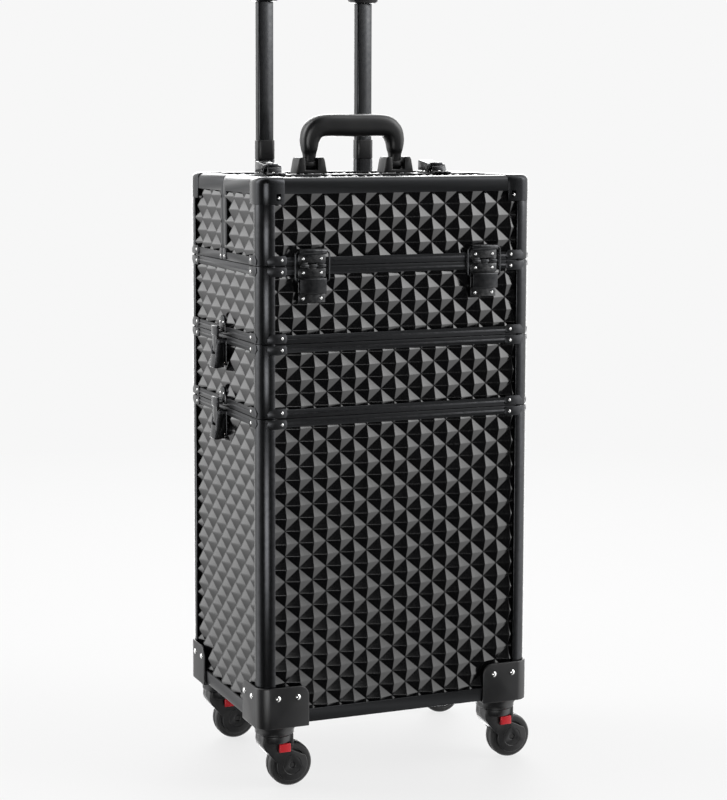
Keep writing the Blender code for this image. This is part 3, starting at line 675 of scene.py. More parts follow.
def build_sections():
    rooms = (
        ("base", "base", Z_CASE, Z_MID - SEAM / 2, BOTTOM_RAIL, RAIL),
        ("mid", "mid_section", Z_MID + SEAM / 2, Z_TOP - SEAM / 2, RAIL, RAIL),
        ("top", "top_section", Z_TOP + SEAM / 2, Z_LID - SEAM / 2, RAIL, RAIL),
    )
    for name, body, low, high, low_rail, high_rail in rooms:
        parts = [cage(low, high, low_rail, high_rail)]
        parts.append(lip_pieces(high - 0.0062, high - 0.0040))
        if name != "base":
            parts.append(lip_pieces(low + 0.0040, low + 0.0062))
        add(name + "_rails", merged(*parts), RAILS, body, (name + "_frame",))
        add(name + "_posts", corner_posts(low, high), METAL, body)
        window = (low + low_rail - WINDOW_LAP, high - high_rail + WINDOW_LAP)
        add_relief(name + "_relief", body, *window, SLIDE[name])
        tub(name + "_lining", body, low, high - SEAM, name + "_shell")
    add_brackets("base", "base", [(Z_MID - BRACKET_GAP, False)])
    add_brackets("mid", "mid_section", [(Z_MID + BRACKET_GAP, True), (Z_TOP - BRACKET_GAP, False)])
    add_brackets("top", "top_section", [(Z_TOP + BRACKET_GAP, True), (Z_LID - BRACKET_GAP, False)])


def lid_frame():
    """Front half of the lid's frame: rails, rounded top edge and its upper rim."""
    low = Z_LID + SEAM / 2
    side = X_FACE - POST
    body = cut(lid_block(0.0, low, Z_END, LID_EDGE_R),
               lid_block(-FRAME_T, low - 0.01, Z_END - FRAME_T, LID_EDGE_R - FRAME_T),
               box((-side, -1, Z_LID + RAIL), (side, 0.0, Z_END - TOP_RAIL)),
               box((-1, -Y_FACE + POST, Z_LID + RAIL), (1, -RAIL, Z_END - TOP_RAIL)),
               box((-side, -Y_FACE + TOP_BAND, Z_END - 0.010), (side, -RAIL, Z_END + 0.010)))
    body = boolean(body, "INTERSECT", box((-1, -1, Z_LID - 0.05), (1, -SEAM / 2, Z_END + 0.05)))
    return soften(body, 0.0005)


def lid_corners():
    """Pressed corner caps over the front half's rounded corners, down to the posts."""
    grown = cut(lid_block(0.0009, Z_END - CAP_L, Z_END + 0.0009, LID_EDGE_R + 0.0004),
                lid_block(-0.001, Z_END - 0.05, Z_END - 0.001, LID_EDGE_R - 0.001),
                box((-X_FACE + CAP_L, -1, Z_LID), (X_FACE - CAP_L, 1, Z_END + 0.01)),
                box((-1, -Y_FACE + CAP_L, Z_LID), (1, 1, Z_END + 0.01)))
    return soften(grown, 0.0004)


def lid_posts():
    posts = corner_posts(Z_LID + SEAM / 2, Z_END - CAP_L - 0.0002)
    geom = posts.verts[:] + posts.edges[:] + posts.faces[:]
    bmesh.ops.bisect_plane(posts, geom=geom, plane_co=(0, 0, 0), plane_no=(0, 1, 0), clear_outer=True)
    return posts


def lid_relief():
    """Front, end and top reliefs of the front half of the lid."""
    low = Z_LID + RAIL - WINDOW_LAP
    high = Z_END - TOP_RAIL + WINDOW_LAP
    parts = []
    width = 2 * (X_FACE - POST + WINDOW_REACH)
    slide = SLIDE["lid"]
    sheet = backed(relief(width, high - low, slide[0] - DIAMOND_W / 4, slide[1]))
    parts.append(on_face(sheet, "front", 0.0, (low + high) / 2, -VALLEY_IN))
    start = Y_FACE - POST + WINDOW_REACH
    end = RAIL - WINDOW_REACH
    for side, sign in (("left", 1), ("right", -1)):
        sheet = backed(relief(start - end, high - low, 0.0, 0.0, END_RISE, END_ROUND))
        parts.append(on_face(sheet, side, sign * (start + end) / 2, (low + high) / 2, -VALLEY_IN))
    front = Y_FACE - TOP_BAND + WINDOW_REACH
    sheet = backed(relief(width, front - end, -DIAMOND_W / 4))
    parts.append(shifted(sheet, 0.0, -(front + end) / 2, Z_END - VALLEY_IN - 0.0004))
    return merged(*parts)


def lid_lining():
    low = Z_LID + SEAM
    block = cut(lid_block(-LINING_OUT, low, Z_END - VALLEY_IN - 0.0015, 0.003),
                lid_block(-LINING_IN, low - 0.01, Z_END - 0.0090, 0.001))
    block = boolean(block, "INTERSECT", box((-1, -1, Z_LID - 0.05), (1, -SEAM, Z_END + 0.05)))
    return soften(block, 0.0005)


def split_brackets():
    """Half brackets beside the lid's split, on the end faces, at the seam below the lid."""
    plates = []
    heads = []
    for side, sign in (("left", 1), ("right", -1)):
        outline = [(0.0007, 0.0008), (0.0100, 0.0008), (0.0100, 0.0120), (0.0085, 0.0140),
                   (0.0007, 0.0140)]
        plate = soften(prism([(sign * a, b) for a, b in outline], "Z", -0.0004, 0.0010), 0.0003)
        plates.append(on_face(plate, side, 0.0, Z_LID))
        heads.append(on_face(rivet(CAP_RIVET_R), side, sign * 0.0062, Z_LID + 0.0050, 0.0010))
    return plates, heads


def cap_tabs():
    """Riveted tongues of the corner caps, on the lid's front."""
    plates = []
    heads = []
    outline = [(-0.0030, 0.0005), (0.0030, 0.0005), (0.0030, -0.0060), (0.0018, -0.0075),
               (-0.0018, -0.0075), (-0.0030, -0.0060)]
    for sign in (-1, 1):
        at = sign * (X_FACE - 0.0225)
        tab = soften(prism(outline, "Z", -0.0042, 0.0009), 0.0003)
        plates.append(on_face(tab, "front", at, Z_END - TOP_RAIL))
        heads.append(on_face(rivet(CAP_RIVET_R), "front", at, Z_END - 0.0225, 0.0009))
    return plates, heads


def lid_brackets():
    """Upper bracket halves of the corners of the front half of the lid."""
    places = (("front", -1), ("front", 1), ("left", 1), ("right", -1))
    pairs = [corner_bracket(side, sign, Z_LID + BRACKET_GAP, True) for side, sign in places]
    return [plate for plate, head in pairs], [head for plate, head in pairs]


def lid_bead():
    low = Z_LID + SEAM / 2
    wide = X_FACE - POST
    bead = box((-wide, -Y_FACE - BEAD_PROUD, low + 0.0040), (wide, -Y_FACE + 0.001, low + 0.0062))
    return soften(bead, 0.0004)


def build_lids():
    """Both lid halves: the rear one mirrors the front one."""
    for half in ("front", "rear"):
        body = half + "_lid"
        plates = []
        heads = []
        for made_plates, made_heads in (split_brackets(), cap_tabs(), lid_brackets()):
            plates += made_plates
            heads += made_heads
        groups = {
            "rails": (merged(lid_frame(), lid_bead()), RAILS),
            "posts": (lid_posts(), METAL),
            "caps": (lid_corners(), METAL),
            "relief": (lid_relief(), PANEL),
            "lining": (lid_lining(), LINING),
            "plates": (merged(*plates), RAILS),
            "rivets": (merged(*heads), NICKEL),
        }
        stands_for = {"rails": (body + "_frame",), "lining": (body + "_shell",)}
        for part, (bm, material) in groups.items():
            if half == "rear":
                flip_y(bm)
            add("%s_%s" % (body, part), bm, material, body, stands_for.get(part, ()),
                30 if part == "relief" else 34)


# Stay hinges and their rings.


def out_up(points, axis_y, axis_z):
    """Turn (outward, up) profile points into (y, z) at the front of the case."""
    return [(axis_y - out, axis_z + up) for out, up in points]


def hinge_knuckles(x, y, z, up):
    """Knuckle barrels of one leaf with the tongues that roll into them."""
    spans = ((-0.0155, -0.0053), (0.0053, 0.0155)) if up else ((-0.0050, 0.0050),)
    way = 1 if up else -1
    parts = []
    for start, end in spans:
        parts.append(soften(rod("X", y, z, KNUCKLE_R, x + start, x + end, 24), 0.0003))
        tongue = [(-0.0030, way * 0.0004), (-0.0010, way * 0.0004), (-0.0010, way * 0.0036),
                  (-0.0030, way * 0.0036)]
        parts.append(soften(prism(out_up(tongue, y, z), "X", x + start + 0.0002, x + end - 0.0002), 0.0002))
    return parts


def upper_leaf(x, y, z):
    """Lid leaf: a riveted plate under the curled flange that holds the ring's top bar."""
    half = HINGE_W / 2
    plate = [(-0.0038, 0.0030), (-0.0017, 0.0030), (-0.0017, 0.0128), (-0.0038, 0.0128)]
    curl = [(-0.0062, 0.0128), (0.0012, 0.0128)] + arc(0.0, 0.0160, 0.0030, 8, -60.0, 90.0)
    curl += [(-0.0062, 0.0190)]
    return [soften(prism(out_up(plate, y, z), "X", x - half, x + half), 0.0003),
            soften(prism(out_up(curl, y, z), "X", x - half, x + half), 0.0004)]


def lower_leaf(x, y, z):
    """Leaf, raised bridge over the ring's lower bar and the riveted foot."""
    half = HINGE_W / 2
    leaf = [(-0.0038, -0.0128), (-0.0017, -0.0128), (-0.0017, -0.0030), (-0.0038, -0.0030)]
    bridge = [(-0.0047, -0.0302), (0.0018, -0.0302), (0.0022, -0.0150), (-0.0047, -0.0142),
              (-0.0047, -0.0136), (0.0030, -0.0140), (0.0036, -0.0150), (0.0034, -0.0306),
              (0.0026, -0.0314), (-0.0047, -0.0314)]
    foot = [(-0.0060, -0.0412), (-0.0022, -0.0412), (-0.0022, -0.0316), (-0.0060, -0.0316)]
    backing = [(-0.0060, -0.0400), (-0.0040, -0.0400), (-0.0040, -0.0060), (-0.0060, -0.0060)]
    parts = [soften(prism(out_up(leaf, y, z), "X", x - half, x + half), 0.0003),
             soften(prism(out_up(bridge, y, z), "X", x - half + 0.0008, x + half - 0.0008), 0.0003),
             soften(prism(out_up(foot, y, z), "X", x - half + 0.0006, x + half - 0.0006), 0.0003),
             soften(prism(out_up(backing, y, z), "X", x - half + 0.001, x + half - 0.001), 0.0003)]
    return parts


def hinge_rivets(x, heights, out):
    return [on_face(rivet(0.0021, 0.0012), "front", x + side * 0.0108, Z_LID + up, out)
            for up in heights for side in (-1, 1)]


def ring_wire(x, low, high, width, radius):
    """Rectangular wire ring with rounded corners, as a smooth tube."""
    y = -Y_FACE - 0.0025
    outline = round_rect(width, high - low, 0.004, 6, (x, (low + high) / 2))
    path = [Vector((a, y, b)) for a, b in outline]
    turns = [2 * math.pi * k / 12 for k in range(12)]
    bm = bmesh.new()
    rings = []
    count = len(path)
    for i, point in enumerate(path):
        along = (path[(i + 1) % count] - path[i - 1]).normalized()
        across = Vector((-along.z, 0.0, along.x))
        offsets = [across * radius * math.cos(t) + Vector((0, radius * math.sin(t), 0)) for t in turns]
        rings.append([bm.verts.new(point + offset) for offset in offsets])
    for i in range(count):
        one, two = rings[i], rings[(i + 1) % count]
        for k in range(12):
            j = (k + 1) % 12
            bm.faces.new((one[k], one[j], two[j], two[k]))
    return bm


def build_hinges():
    y = -Y_FACE - KNUCKLE_OUT
    for half in ("front", "rear"):
        upper, lower, upper_heads, lower_heads = [], [], [], []
        for x in (-HINGE_X, HINGE_X):
            upper += upper_leaf(x, y, Z_LID) + hinge_knuckles(x, y, Z_LID, True)
            lower += lower_leaf(x, y, Z_LID) + hinge_knuckles(x, y, Z_LID, False)
            upper_heads += hinge_rivets(x, (0.0079,), 0.0018)
            lower_heads += hinge_rivets(x, (-0.0079,), 0.0018)
            lower_heads += hinge_rivets(x, (-0.0364,), 0.0013)
        pieces = (
            (half + "_stay_upper_leaves", upper, STEEL, half + "_lid"),
            (half + "_stay_lower_leaves", lower, STEEL, "top_section"),
            (half + "_stay_upper_rivets", upper_heads, NICKEL, half + "_lid"),
            (half + "_stay_lower_rivets", lower_heads, NICKEL, "top_section"),
        )
        for name, parts, material, body in pieces:
            bm = merged(*parts)
            if half == "rear":
                flip_y(bm)
            add(name, bm, material, body)
        for side, sign in (("left", -1), ("right", 1)):
            node = "%s_ring_%s" % (half, side)
            low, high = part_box(node)
            bm = ring_wire(sign * HINGE_X, low.z + 0.001, high.z - 0.001, high.x - low.x - 0.002, 0.0011)
            if half == "rear":
                flip_y(bm)
            add(node + "_wire", bm, STEEL, node, (node,))


# Latches. U runs along the pull with the seam at 0, N outward from the face.


# Turns a plate drawn in U and width so that its thickness runs along N.
LAID_FLAT = Matrix(((1, 0, 0, 0), (0, 0, 1, 0), (0, 1, 0, 0), (0, 0, 0, 1)))


def latch_frames():
    """Each latch's place, the body its base is on and the body its strike is on."""
    def side(way, z):
        return Matrix(((0, way, 0, way * X_FACE), (0, 0, 1, 0), (1, 0, 0, z), (0, 0, 0, 1)))

    def top(x):
        return Matrix(((0, 0, 1, x), (-1, 0, 0, 0), (0, 1, 0, Z_END), (0, 0, 0, 1)))

    return {
        "top_left": (top(-TOP_LATCH_X), "rear_lid", "front_lid"),
        "top_right": (top(TOP_LATCH_X), "rear_lid", "front_lid"),
        "upper_left": (side(-1, Z_TOP), "mid_section", "top_section"),
        "upper_right": (side(1, Z_TOP), "mid_section", "top_section"),
        "lower_left": (side(-1, Z_MID), "base", "mid_section"),
        "lower_right": (side(1, Z_MID), "base", "mid_section"),
    }


def latch_base():
    """Base plate with two ears and the lever's pin, drawn in U, N and width."""
    plate = soften(prism(round_rect(0.0325, 0.024, 0.003, 5, (-0.01925, 0.0)), "Z", -0.0006, 0.0015), 0.0003)
    moved(plate, LAID_FLAT)
    parts = [plate]
    for low in (-0.0114, 0.0094):
        ear = [(-0.0130, 0.0010), (-0.0030, 0.0010)] + arc(LEVER_U, LEVER_N, 0.0040, 14, 0.0, 180.0)
        parts.append(soften(prism(ear, "Z", low, low + 0.0020), 0.0003))
    parts.append(rod("Z", LEVER_U, LEVER_N, 0.0015, -0.0124, 0.0124, 20))
    return merged(*parts)


def latch_strike(dome):
    """Strike plate with a rounded end and the lug that the hook closes over."""
    width = 0.020
    outline = [(0.0030, -width / 2), (0.0130, -width / 2)] + arc(0.0130, 0.0, width / 2, 16, -90.0, 90.0)
    outline += [(0.0030, width / 2)]
    lug = [(0.0065, 0.0010), (0.0065, 0.0068), (0.0078, 0.0072), (0.0090, 0.0066), (0.0096, 0.0010)]
    if not dome:
        lug = [(0.0012, -0.0006), (0.0012, 0.0078), (0.0024, 0.0082), (0.0036, 0.0074), (0.0060, 0.0020),
               (0.0060, -0.0006)]
    plate = prism(outline, "Z", -0.0006, 0.0024)
    soften(plate, 0.0006, 3)
    moved(plate, LAID_FLAT)
    return merged(plate, soften(prism(lug, "Z", -0.0085, 0.0085), 0.0004))


def latch_lever():
    """Lever: two cheeks on the pin, a rounded thumb tab and a stiffening rib."""
    cheek = arc(LEVER_U, LEVER_N, 0.0048, 14, -60.0, 100.0)
    cheek += [(-0.0200, 0.0130), (-0.0375, 0.0130), (-0.0375, 0.0026), (-0.0160, 0.0024)]
    tab = [(-0.0223, 0.0040), (-0.0223, 0.0129), (-0.0300, 0.0139), (-0.0362, 0.0150), (-0.0380, 0.0146),
           (-0.0385, 0.0110), (-0.0374, 0.0040)]
    parts = [soften(prism(tab, "Z", -0.0088, 0.0088), 0.0007, 3)]
    for low in (-0.0091, 0.0071):
        parts.append(soften(prism(cheek, "Z", low, low + 0.0020), 0.0004))
    parts.append(rod("Z", LEVER_U, LEVER_N, 0.0026, -0.0091, 0.0091, 20))
    return merged(*parts)


def latch_hook(reach):
    """Hook: barrel on the lever, neck between its cheeks and a lipped, softly rounded head."""
    half = 0.0067
    start = max(reach - 0.0125, -0.0105)
    head_half = 0.0095 if reach > 0.005 else half - 0.0001
    head = [(start, 0.0088), (reach, 0.0088), (reach, 0.0106), (reach - 0.0015, 0.0125),
            (start + 0.002, 0.0125), (start, 0.0118)]
    lip_u = 0.0030 if reach > 0.005 else reach - 0.0022
    lip = [(lip_u, 0.0034), (lip_u + 0.0020, 0.0034), (lip_u + 0.0020, 0.0095), (lip_u, 0.0095)]
    neck = [(HOOK_U, 0.0090), (reach - 0.001, 0.0090), (reach - 0.001, 0.0119), (HOOK_U, 0.0119)]
    return merged(soften(rod("Z", HOOK_U, HOOK_N, 0.0043, -half, half, 28), 0.0004),
                  soften(prism(neck, "Z", -half + 0.0001, half - 0.0001), 0.0005),
                  soften(prism(head, "Z", -head_half, head_half), 0.0008, 3),
                  soften(prism(lip, "Z", -0.0065, 0.0065), 0.0003))


def build_latches():
    for name, (place, near, far) in latch_frames().items():
        top = name.startswith("top")
        reach = -0.0004 if top else 0.0115
        add(name + "_latch_base", moved(latch_base(), place), STEEL, near)
        add(name + "_latch_strike", moved(latch_strike(not top), place), STEEL, far)
        for part, bm in (("lever", latch_lever()), ("hook", latch_hook(reach))):
            node = "%s_latch_%s" % (name, part)
            add(node + "_shape", moved(bm, place), STEEL, node, (node,))
        for body, tag, u, n in ((near, "base", -0.0320, 0.0015), (far, "strike", 0.0150, 0.0024)):
            heads = []
            for w in (-0.0056, 0.0056):
                head = moved(rivet(0.0016, 0.0009), LAID_FLAT @ Matrix.Translation((u, w, n)))
                heads.append(moved(head, place))
            add("%s_latch_%s_rivets" % (name, tag), merged(*heads), NICKEL, body)


# Carry handle and its brackets.


def smooth_path(stations, steps):
    """Catmull-Rom interpolation of (x, z, flat, deep) stations."""
    result = []
    last = len(stations) - 1
    for i in range(last):
        rows = [stations[max(i - 1, 0)], stations[i], stations[i + 1], stations[min(i + 2, last)]]
        for k in range(steps):
            t = k / steps
            row = []
            for a, b, c, d in zip(*rows):
                row.append(0.5 * (2 * b + (c - a) * t + (2 * a - 5 * b + 4 * c - d) * t * t
                                  + (3 * b - a - 3 * c + d) * t * t * t))
            result.append(row)
    result.append(list(stations[-1]))
    return result


def swept(stations, y, steps):
    """Skin rounded sections along a path in the XZ plane."""
    bm = bmesh.new()
    rings = []
    last = len(stations) - 1
    for i, (x, z, flat, deep) in enumerate(stations):
        ahead = stations[min(i + 1, last)]
        behind = stations[max(i - 1, 0)]
        along = Vector((ahead[0] - behind[0], 0.0, ahead[1] - behind[1])).normalized()
        across = Vector((-along.z, 0.0, along.x))
        ring_verts = []
        for k in range(steps):
            angle = 2 * math.pi * k / steps
            c, s = math.cos(angle), math.sin(angle)
            squared = (abs(c) ** 3 + abs(s) ** 3) ** (-1 / 3)
            offset = across * (flat * c * squared) + Vector((0, deep * s * squared, 0))
            ring_verts.append(bm.verts.new(Vector((x, y, z)) + offset))
        rings.append(ring_verts)
    for one, two in zip(rings, rings[1:]):
        for k in range(steps):
            j = (k + 1) % steps
            bm.faces.new((one[k], one[j], two[j], two[k]))
    bm.faces.new(rings[0])
    bm.faces.new(rings[-1])
    return bm


def build_handle():
    low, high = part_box("carry_handle")
    y = middle("carry_handle")[1]
    grip = 0.0130
    side = high.x - 0.0115
    z = high.z - grip
    foot = low.z
    left = [
        (-side, foot, 0.0066, 0.0046), (-side, foot + 0.006, 0.0072, 0.0056),
        (-side, foot + 0.014, 0.0078, 0.0068), (-side, z - 0.028, 0.0092, 0.0092),
        (-side + 0.0006, z - 0.016, 0.0112, 0.0108), (-side + 0.0056, z - 0.0055, 0.0125, 0.0120),
        (-side + 0.018, z, grip, 0.0126),
    ]
    stations = left + [(0.0, z, grip + 0.0003, 0.0128)]
    stations += [(-across, *rest) for across, *rest in reversed(left)]
    pivot = foot + 0.0020
    feet = [soften(rod("X", y, pivot, 0.0062, x - 0.0074, x + 0.0074, 32), 0.0006)
            for x in (-side, side)]
    add("carry_handle_grip", merged(swept(smooth_path(stations, 6), y, 36), *feet), GRIP, "handle",
        ("carry_handle",), 50)
    for name in ("left", "right"):
        node = "handle_bracket_" + name
        low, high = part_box(node)
        x = middle(node)[0]
        half = (high.x - low.x) / 2
        outline = [(x - half, low.z), (x + half, low.z), (x + half - 0.0030, high.z - 0.0030)]
        outline += [(x + half - 0.0045, high.z), (x + 0.0084, high.z), (x + 0.0079, low.z + 0.0045),
                    (x - 0.0079, low.z + 0.0045), (x - 0.0084, high.z), (x - half + 0.0045, high.z),
                    (x - half + 0.0030, high.z - 0.0030)]
        block = soften(prism(outline, "Y", low.y - Y_MID, high.y - Y_MID), 0.0010, 3, 20.0)
        pin = rod("X", y, pivot, 0.0020, x - half + 0.0055, x + half - 0.0055, 20)
        add(node + "_shape", merged(block, pin), GRIP, "rear_lid", (node,))
        heads = [shifted(rivet(0.0022, 0.0010), x + sign * (half - 0.0042), y, low.z + 0.0003)
                 for sign in (-1, 1)]
        add(node + "_screws", merged(*heads), NICKEL, "rear_lid")


# Trolley.


def outer_tube(side):
    """Outer tube and the moulded collar at its mouth."""
    node = "trolley_outer_tube_" + side
    low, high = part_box(node)
    outline = round_rect(high.x - low.x, high.y - low.y, 0.005, 8, middle(node))
    hole = round_rect(high.x - low.x - 0.0021, high.y - low.y - 0.0026, 0.0042, 8, middle(node))
    tube = cut(prism(outline, "Z", low.z, high.z - 0.0240),
               prism(hole, "Z", low.z + 0.004, high.z + 0.01))
    add(node + "_profile", soften(tube, 0.0003), TUBE, "base", (node,))
    collar = cut(prism(outline, "Z", high.z - 0.0238, high.z),
                 prism(hole, "Z", low.z + 0.004, high.z + 0.01))
    add("trolley_collar_" + side, soften(collar, 0.0008, 3), MOULDED, "base")


def inner_tube(side):
    """Inner tube, with the right part of its front face slanted back."""
    node = "trolley_inner_tube_" + side
    x, y = middle("trolley_outer_tube_" + side)
    low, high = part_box(node)
    wide, deep = high.x - low.x, high.y - low.y
    front = y - deep / 2
    bevel = [(x + 0.0010, front - 0.002), (x + 0.0010, front), (x + wide / 2, front + 0.0030),
             (x + wide, front + 0.0030), (x + wide, front - 0.002)]
    tube = cut(prism(round_rect(wide, deep, 0.0020, 8, (x, y)), "Z", low.z, high.z),
               prism(bevel, "Z", low.z - 0.01, high.z + 0.01))
    add(node + "_profile", soften(tube, 0.0003), TUBE, "trolley", (node,))


def build_trolley():
    for side in ("left", "right"):
        outer_tube(side)
        inner_tube(side)
    copy_node("trolley_bracket", MOULDED, 0.0010)
    copy_node("trolley_grip", GRIP, 0.0012)
    copy_node("trolley_button", MOULDED, 0.0006)
    low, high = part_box("trolley_bracket")
    clamp = box((low.x, low.y - Y_MID, Z_CASE + 0.002), (high.x, high.y - Y_MID, Z_CASE + 0.019))
    holes = []
    for side in ("left", "right"):
        node = "trolley_outer_tube_" + side
        tube_low, tube_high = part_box(node)
        outline = round_rect(tube_high.x - tube_low.x + 0.0006, tube_high.y - tube_low.y + 0.0006,
                             0.005, 6, middle(node))
        holes.append(prism(outline, "Z", tube_low.z - 0.0003, 1.0))
    add("trolley_lower_bracket", soften(cut(clamp, *holes), 0.0014, 3), MOULDED, "base")
    turn = Matrix.Rotation(-math.pi / 2, 4, "X")
    heads = [moved(rivet(0.0026, 0.0010), Matrix.Translation((x, high.y - Y_MID, z)) @ turn)
             for z in ((low.z + high.z) / 2, Z_CASE + 0.0105) for x in (-0.030, 0.030)]
    add("trolley_bracket_screws", merged(*heads), NICKEL, "base")


# Casters.


def guard_outline(inner, outer, low, high):
    """One side of a guard, from its rounded inner corner out past the case's corner."""
    radius = 0.012
    return [(inner, low - 0.001), (outer + 0.01, low - 0.001), (outer + 0.01, high + 0.001),
            (inner + radius, high + 0.001)] + arc(inner + radius, high - radius, radius, 10, 90.0, 180.0)


def guard(sx, sy, low, high, x_in, y_in):
    """Moulded corner guard: a skin round the corner with rounded upper corners and soft edges."""
    along = [(sx * a, b) for a, b in guard_outline(x_in, X_FACE, low, high)]
    across = [(sy * a, b) for a, b in guard_outline(y_in, Y_FACE, low, high)]
    body = boolean(slab(GUARD_OUT, low, high), "INTERSECT", prism(along, "Y", -1, 1))
    body = boolean(body, "INTERSECT", prism(across, "X", -1, 1))
    body = cut(body, slab(0.0003, Z_CASE - 0.0003, high + 0.01))
    return soften(body, 0.0012, 3, 35.0)


def stem_boss(x, y, low, high, radius):
    """Round boss under the guard with a flared top and a stepped lower rim."""
    profile = [(0.0064, low), (radius - 0.0030, low), (radius - 0.0020, low + 0.0010),
               (radius - 0.0018, low + 0.0050), (radius - 0.0002, low + 0.0072),
               (radius, low + 0.0100), (radius + 0.0008, high), (0.0064, high)]
    return shifted(turned(profile + [profile[0]], 56), x, y, 0.0)


def fork(x, y, wheel_r, top, half):
    """Swivel neck that sweeps back into two cheeks with round hub covers."""
    ax, az = x + TRAIL, wheel_r
    side = [(x + NECK_R - 0.001, top), (x - NECK_R + 0.001, top), (x - NECK_R + 0.0005, 0.0545),
            (x - NECK_R + 0.0015, 0.0500), (x - NECK_R + 0.0040, 0.0455)]
    side += arc(ax, az, 0.0188, 30, 168.0, 392.0)
    side += [(x + NECK_R - 0.0035, 0.0440), (x + NECK_R - 0.0010, 0.0500)]
    body = prism(side, "Y", y - half, y + half)
    body = cut(body, rod("Y", ax, az, wheel_r + 0.0013, y - half + 0.0033, y + half - 0.0033, 64),
               rod("Y", ax, az, 0.0033, y - 0.03, y + 0.03, 20),
               box((x - 0.0004, y - half - 0.01, 0.0426), (x + 0.0144, y - half + 0.0023, 0.0534)))
    soften(body, 0.0011, 3, 30.0)
    ring = [(NECK_R - 0.0030, 0.0535), (NECK_R - 0.0008, 0.0545), (NECK_R, 0.0560), (NECK_R, top - 0.0012),
            (NECK_R - 0.0010, top), (0.006, top), (0.006, 0.0535), (NECK_R - 0.0030, 0.0535)]
    parts = [body, shifted(turned(ring, 56), x, y, 0.0)]
    disc = [(0.0036, 0.0), (0.0105, 0.0), (0.0110, 0.0004), (0.0112, -0.0012), (0.0036, -0.0012),
            (0.0036, 0.0)]
    for way in (-1, 1):
        turn = Matrix.Rotation(-way * math.pi / 2, 4, "X")
        place = Matrix.Translation((ax, y + way * (half - 0.0001), az))
        parts.append(moved(turned(disc, 40), place @ turn))
    stem = rod("Z", x, y, 0.006, top - 0.002, Z_CASE - 0.0060, 24)
    return merged(*parts, stem)


def tyre(x, y, wheel_r, width):
    """Wheel: a crowned tread with shallow grooves, a recessed side face and a raised hub."""
    half = width / 2
    profile = [(0.0, -half - 0.0030), (0.0028, -half - 0.0030), (0.0030, -half + 0.0010),
               (0.0080, -half + 0.0010), (0.0086, -half + 0.0020), (0.0172, -half + 0.0020),
               (0.0180, -half + 0.0002), (0.0206, -half), (wheel_r - 0.0022, -half + 0.0006),
               (wheel_r - 0.0007, -half + 0.0022), (wheel_r - 0.0001, -half + 0.0045)]
    profile += [(wheel_r - 0.0001, -0.0016), (wheel_r - 0.0008, -0.0012), (wheel_r - 0.0008, 0.0)]
    profile += [(r, -h) for r, h in reversed(profile[:-1])]
    wheel = turned(profile, 72)
    return moved(wheel, Matrix.Translation((x, y, wheel_r)) @ Matrix.Rotation(math.pi / 2, 4, "X"))


def build_casters():
    wheel_low, wheel_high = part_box("front_left_wheel")
    wheel_r = (wheel_high.z - wheel_low.z) / 2
    for corner, (sx, sy) in CORNERS.items():
        node = corner + "_caster_housing"
        low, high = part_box(node)
        wheel_low, wheel_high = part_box(corner + "_wheel")
        half = (wheel_high.y - wheel_low.y) / 2 + 0.0006
        wheel_x = middle(corner + "_wheel")[0]
        x = wheel_x - TRAIL
        y = middle(corner + "_caster_fork")[1]
        x_in = min(abs(low.x), abs(high.x))
        y_in = min(abs(low.y - Y_MID), abs(high.y - Y_MID))
        skin = guard(sx, sy, Z_CASE - GUARD_OUT, high.z, x_in, y_in)
        boss = stem_boss(x, y, low.z, Z_CASE - 0.0030, 0.0246)
        add(node + "_shape", merged(skin, boss), MOULDED, "base", (node,))
        faces = ("front" if sy < 0 else "rear", "left" if sx < 0 else "right")
        heads = []
        for inset in (0.0200, 0.0440):
            across = (-sx * sy * (X_FACE - inset), sx * sy * (Y_FACE - inset))
            for face, at in zip(faces, across):
                heads.append(on_face(rivet(0.0034, 0.0019), face, at, high.z - 0.0125, GUARD_OUT))
        add(corner + "_guard_rivets", merged(*heads), NICKEL, "base")
        add(corner + "_caster_fork_shape", fork(x, y, wheel_r, Z_CASE - 0.0158, half), MOULDED,
            corner + "_fork", (corner + "_caster_fork",))
        add(corner + "_wheel_tyre", tyre(wheel_x, y, wheel_r, 2 * (half - 0.0038)), TYRE,
            corner + "_wheel", (corner + "_wheel",))
        copy_node(corner + "_release_tab", RED, 0.0009)


# Trays and their arms.


def build_trays():
    for half in ("front", "rear"):
        for part in ("upper", "lower"):
            node = "%s_tray_%s" % (half, part)
            copy_node(node, TRAY, 0.0006)
            low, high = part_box(node)
            pads = []
            third = (high.x - low.x) / 3
            for i in range(3):
                start = low.x + i * third + 0.0030
                pad = box((start, low.y - Y_MID + 0.0030, low.z + 0.0021),
                          (start + third - 0.0060, high.y - Y_MID - 0.0030, low.z + 0.0036))
                pads.append(soften(pad, 0.0005))
            add(node + "_pads", merged(*pads), LINING, node)
        for part in ("outer", "inner"):
            copy_node("%s_link_%s" % (half, part), STEEL, 0.0003)


build_sections()
build_lids()
build_hinges()
build_latches()
build_handle()
build_trolley()
build_casters()
build_trays()


# Setting: floor, light and camera.


def window(tree, value, centre, half):
    """One at the centre, easing to nothing half away from it."""
    size = calculated(tree, "ABSOLUTE", calculated(tree, "SUBTRACT", value, centre))
    fade = new_node(tree, "MapRange", interpolation_type="SMOOTHSTEP")
    feed(tree, fade, {"Value": size, "From Min": half, "From Max": half * 0.35})
    return fade.outputs["Result"]


def softbox(tree, angle, height, centre, half, rise, half_rise, level):
    """A soft bright patch of the surroundings: direction and height in degrees, then its level."""
    across = window(tree, angle, math.radians(centre), math.radians(half))
    up = window(tree, height, math.sin(math.radians(rise)), math.sin(math.radians(half_rise)))
    return calculated(tree, "MULTIPLY", calculated(tree, "MULTIPLY", across, up), level)


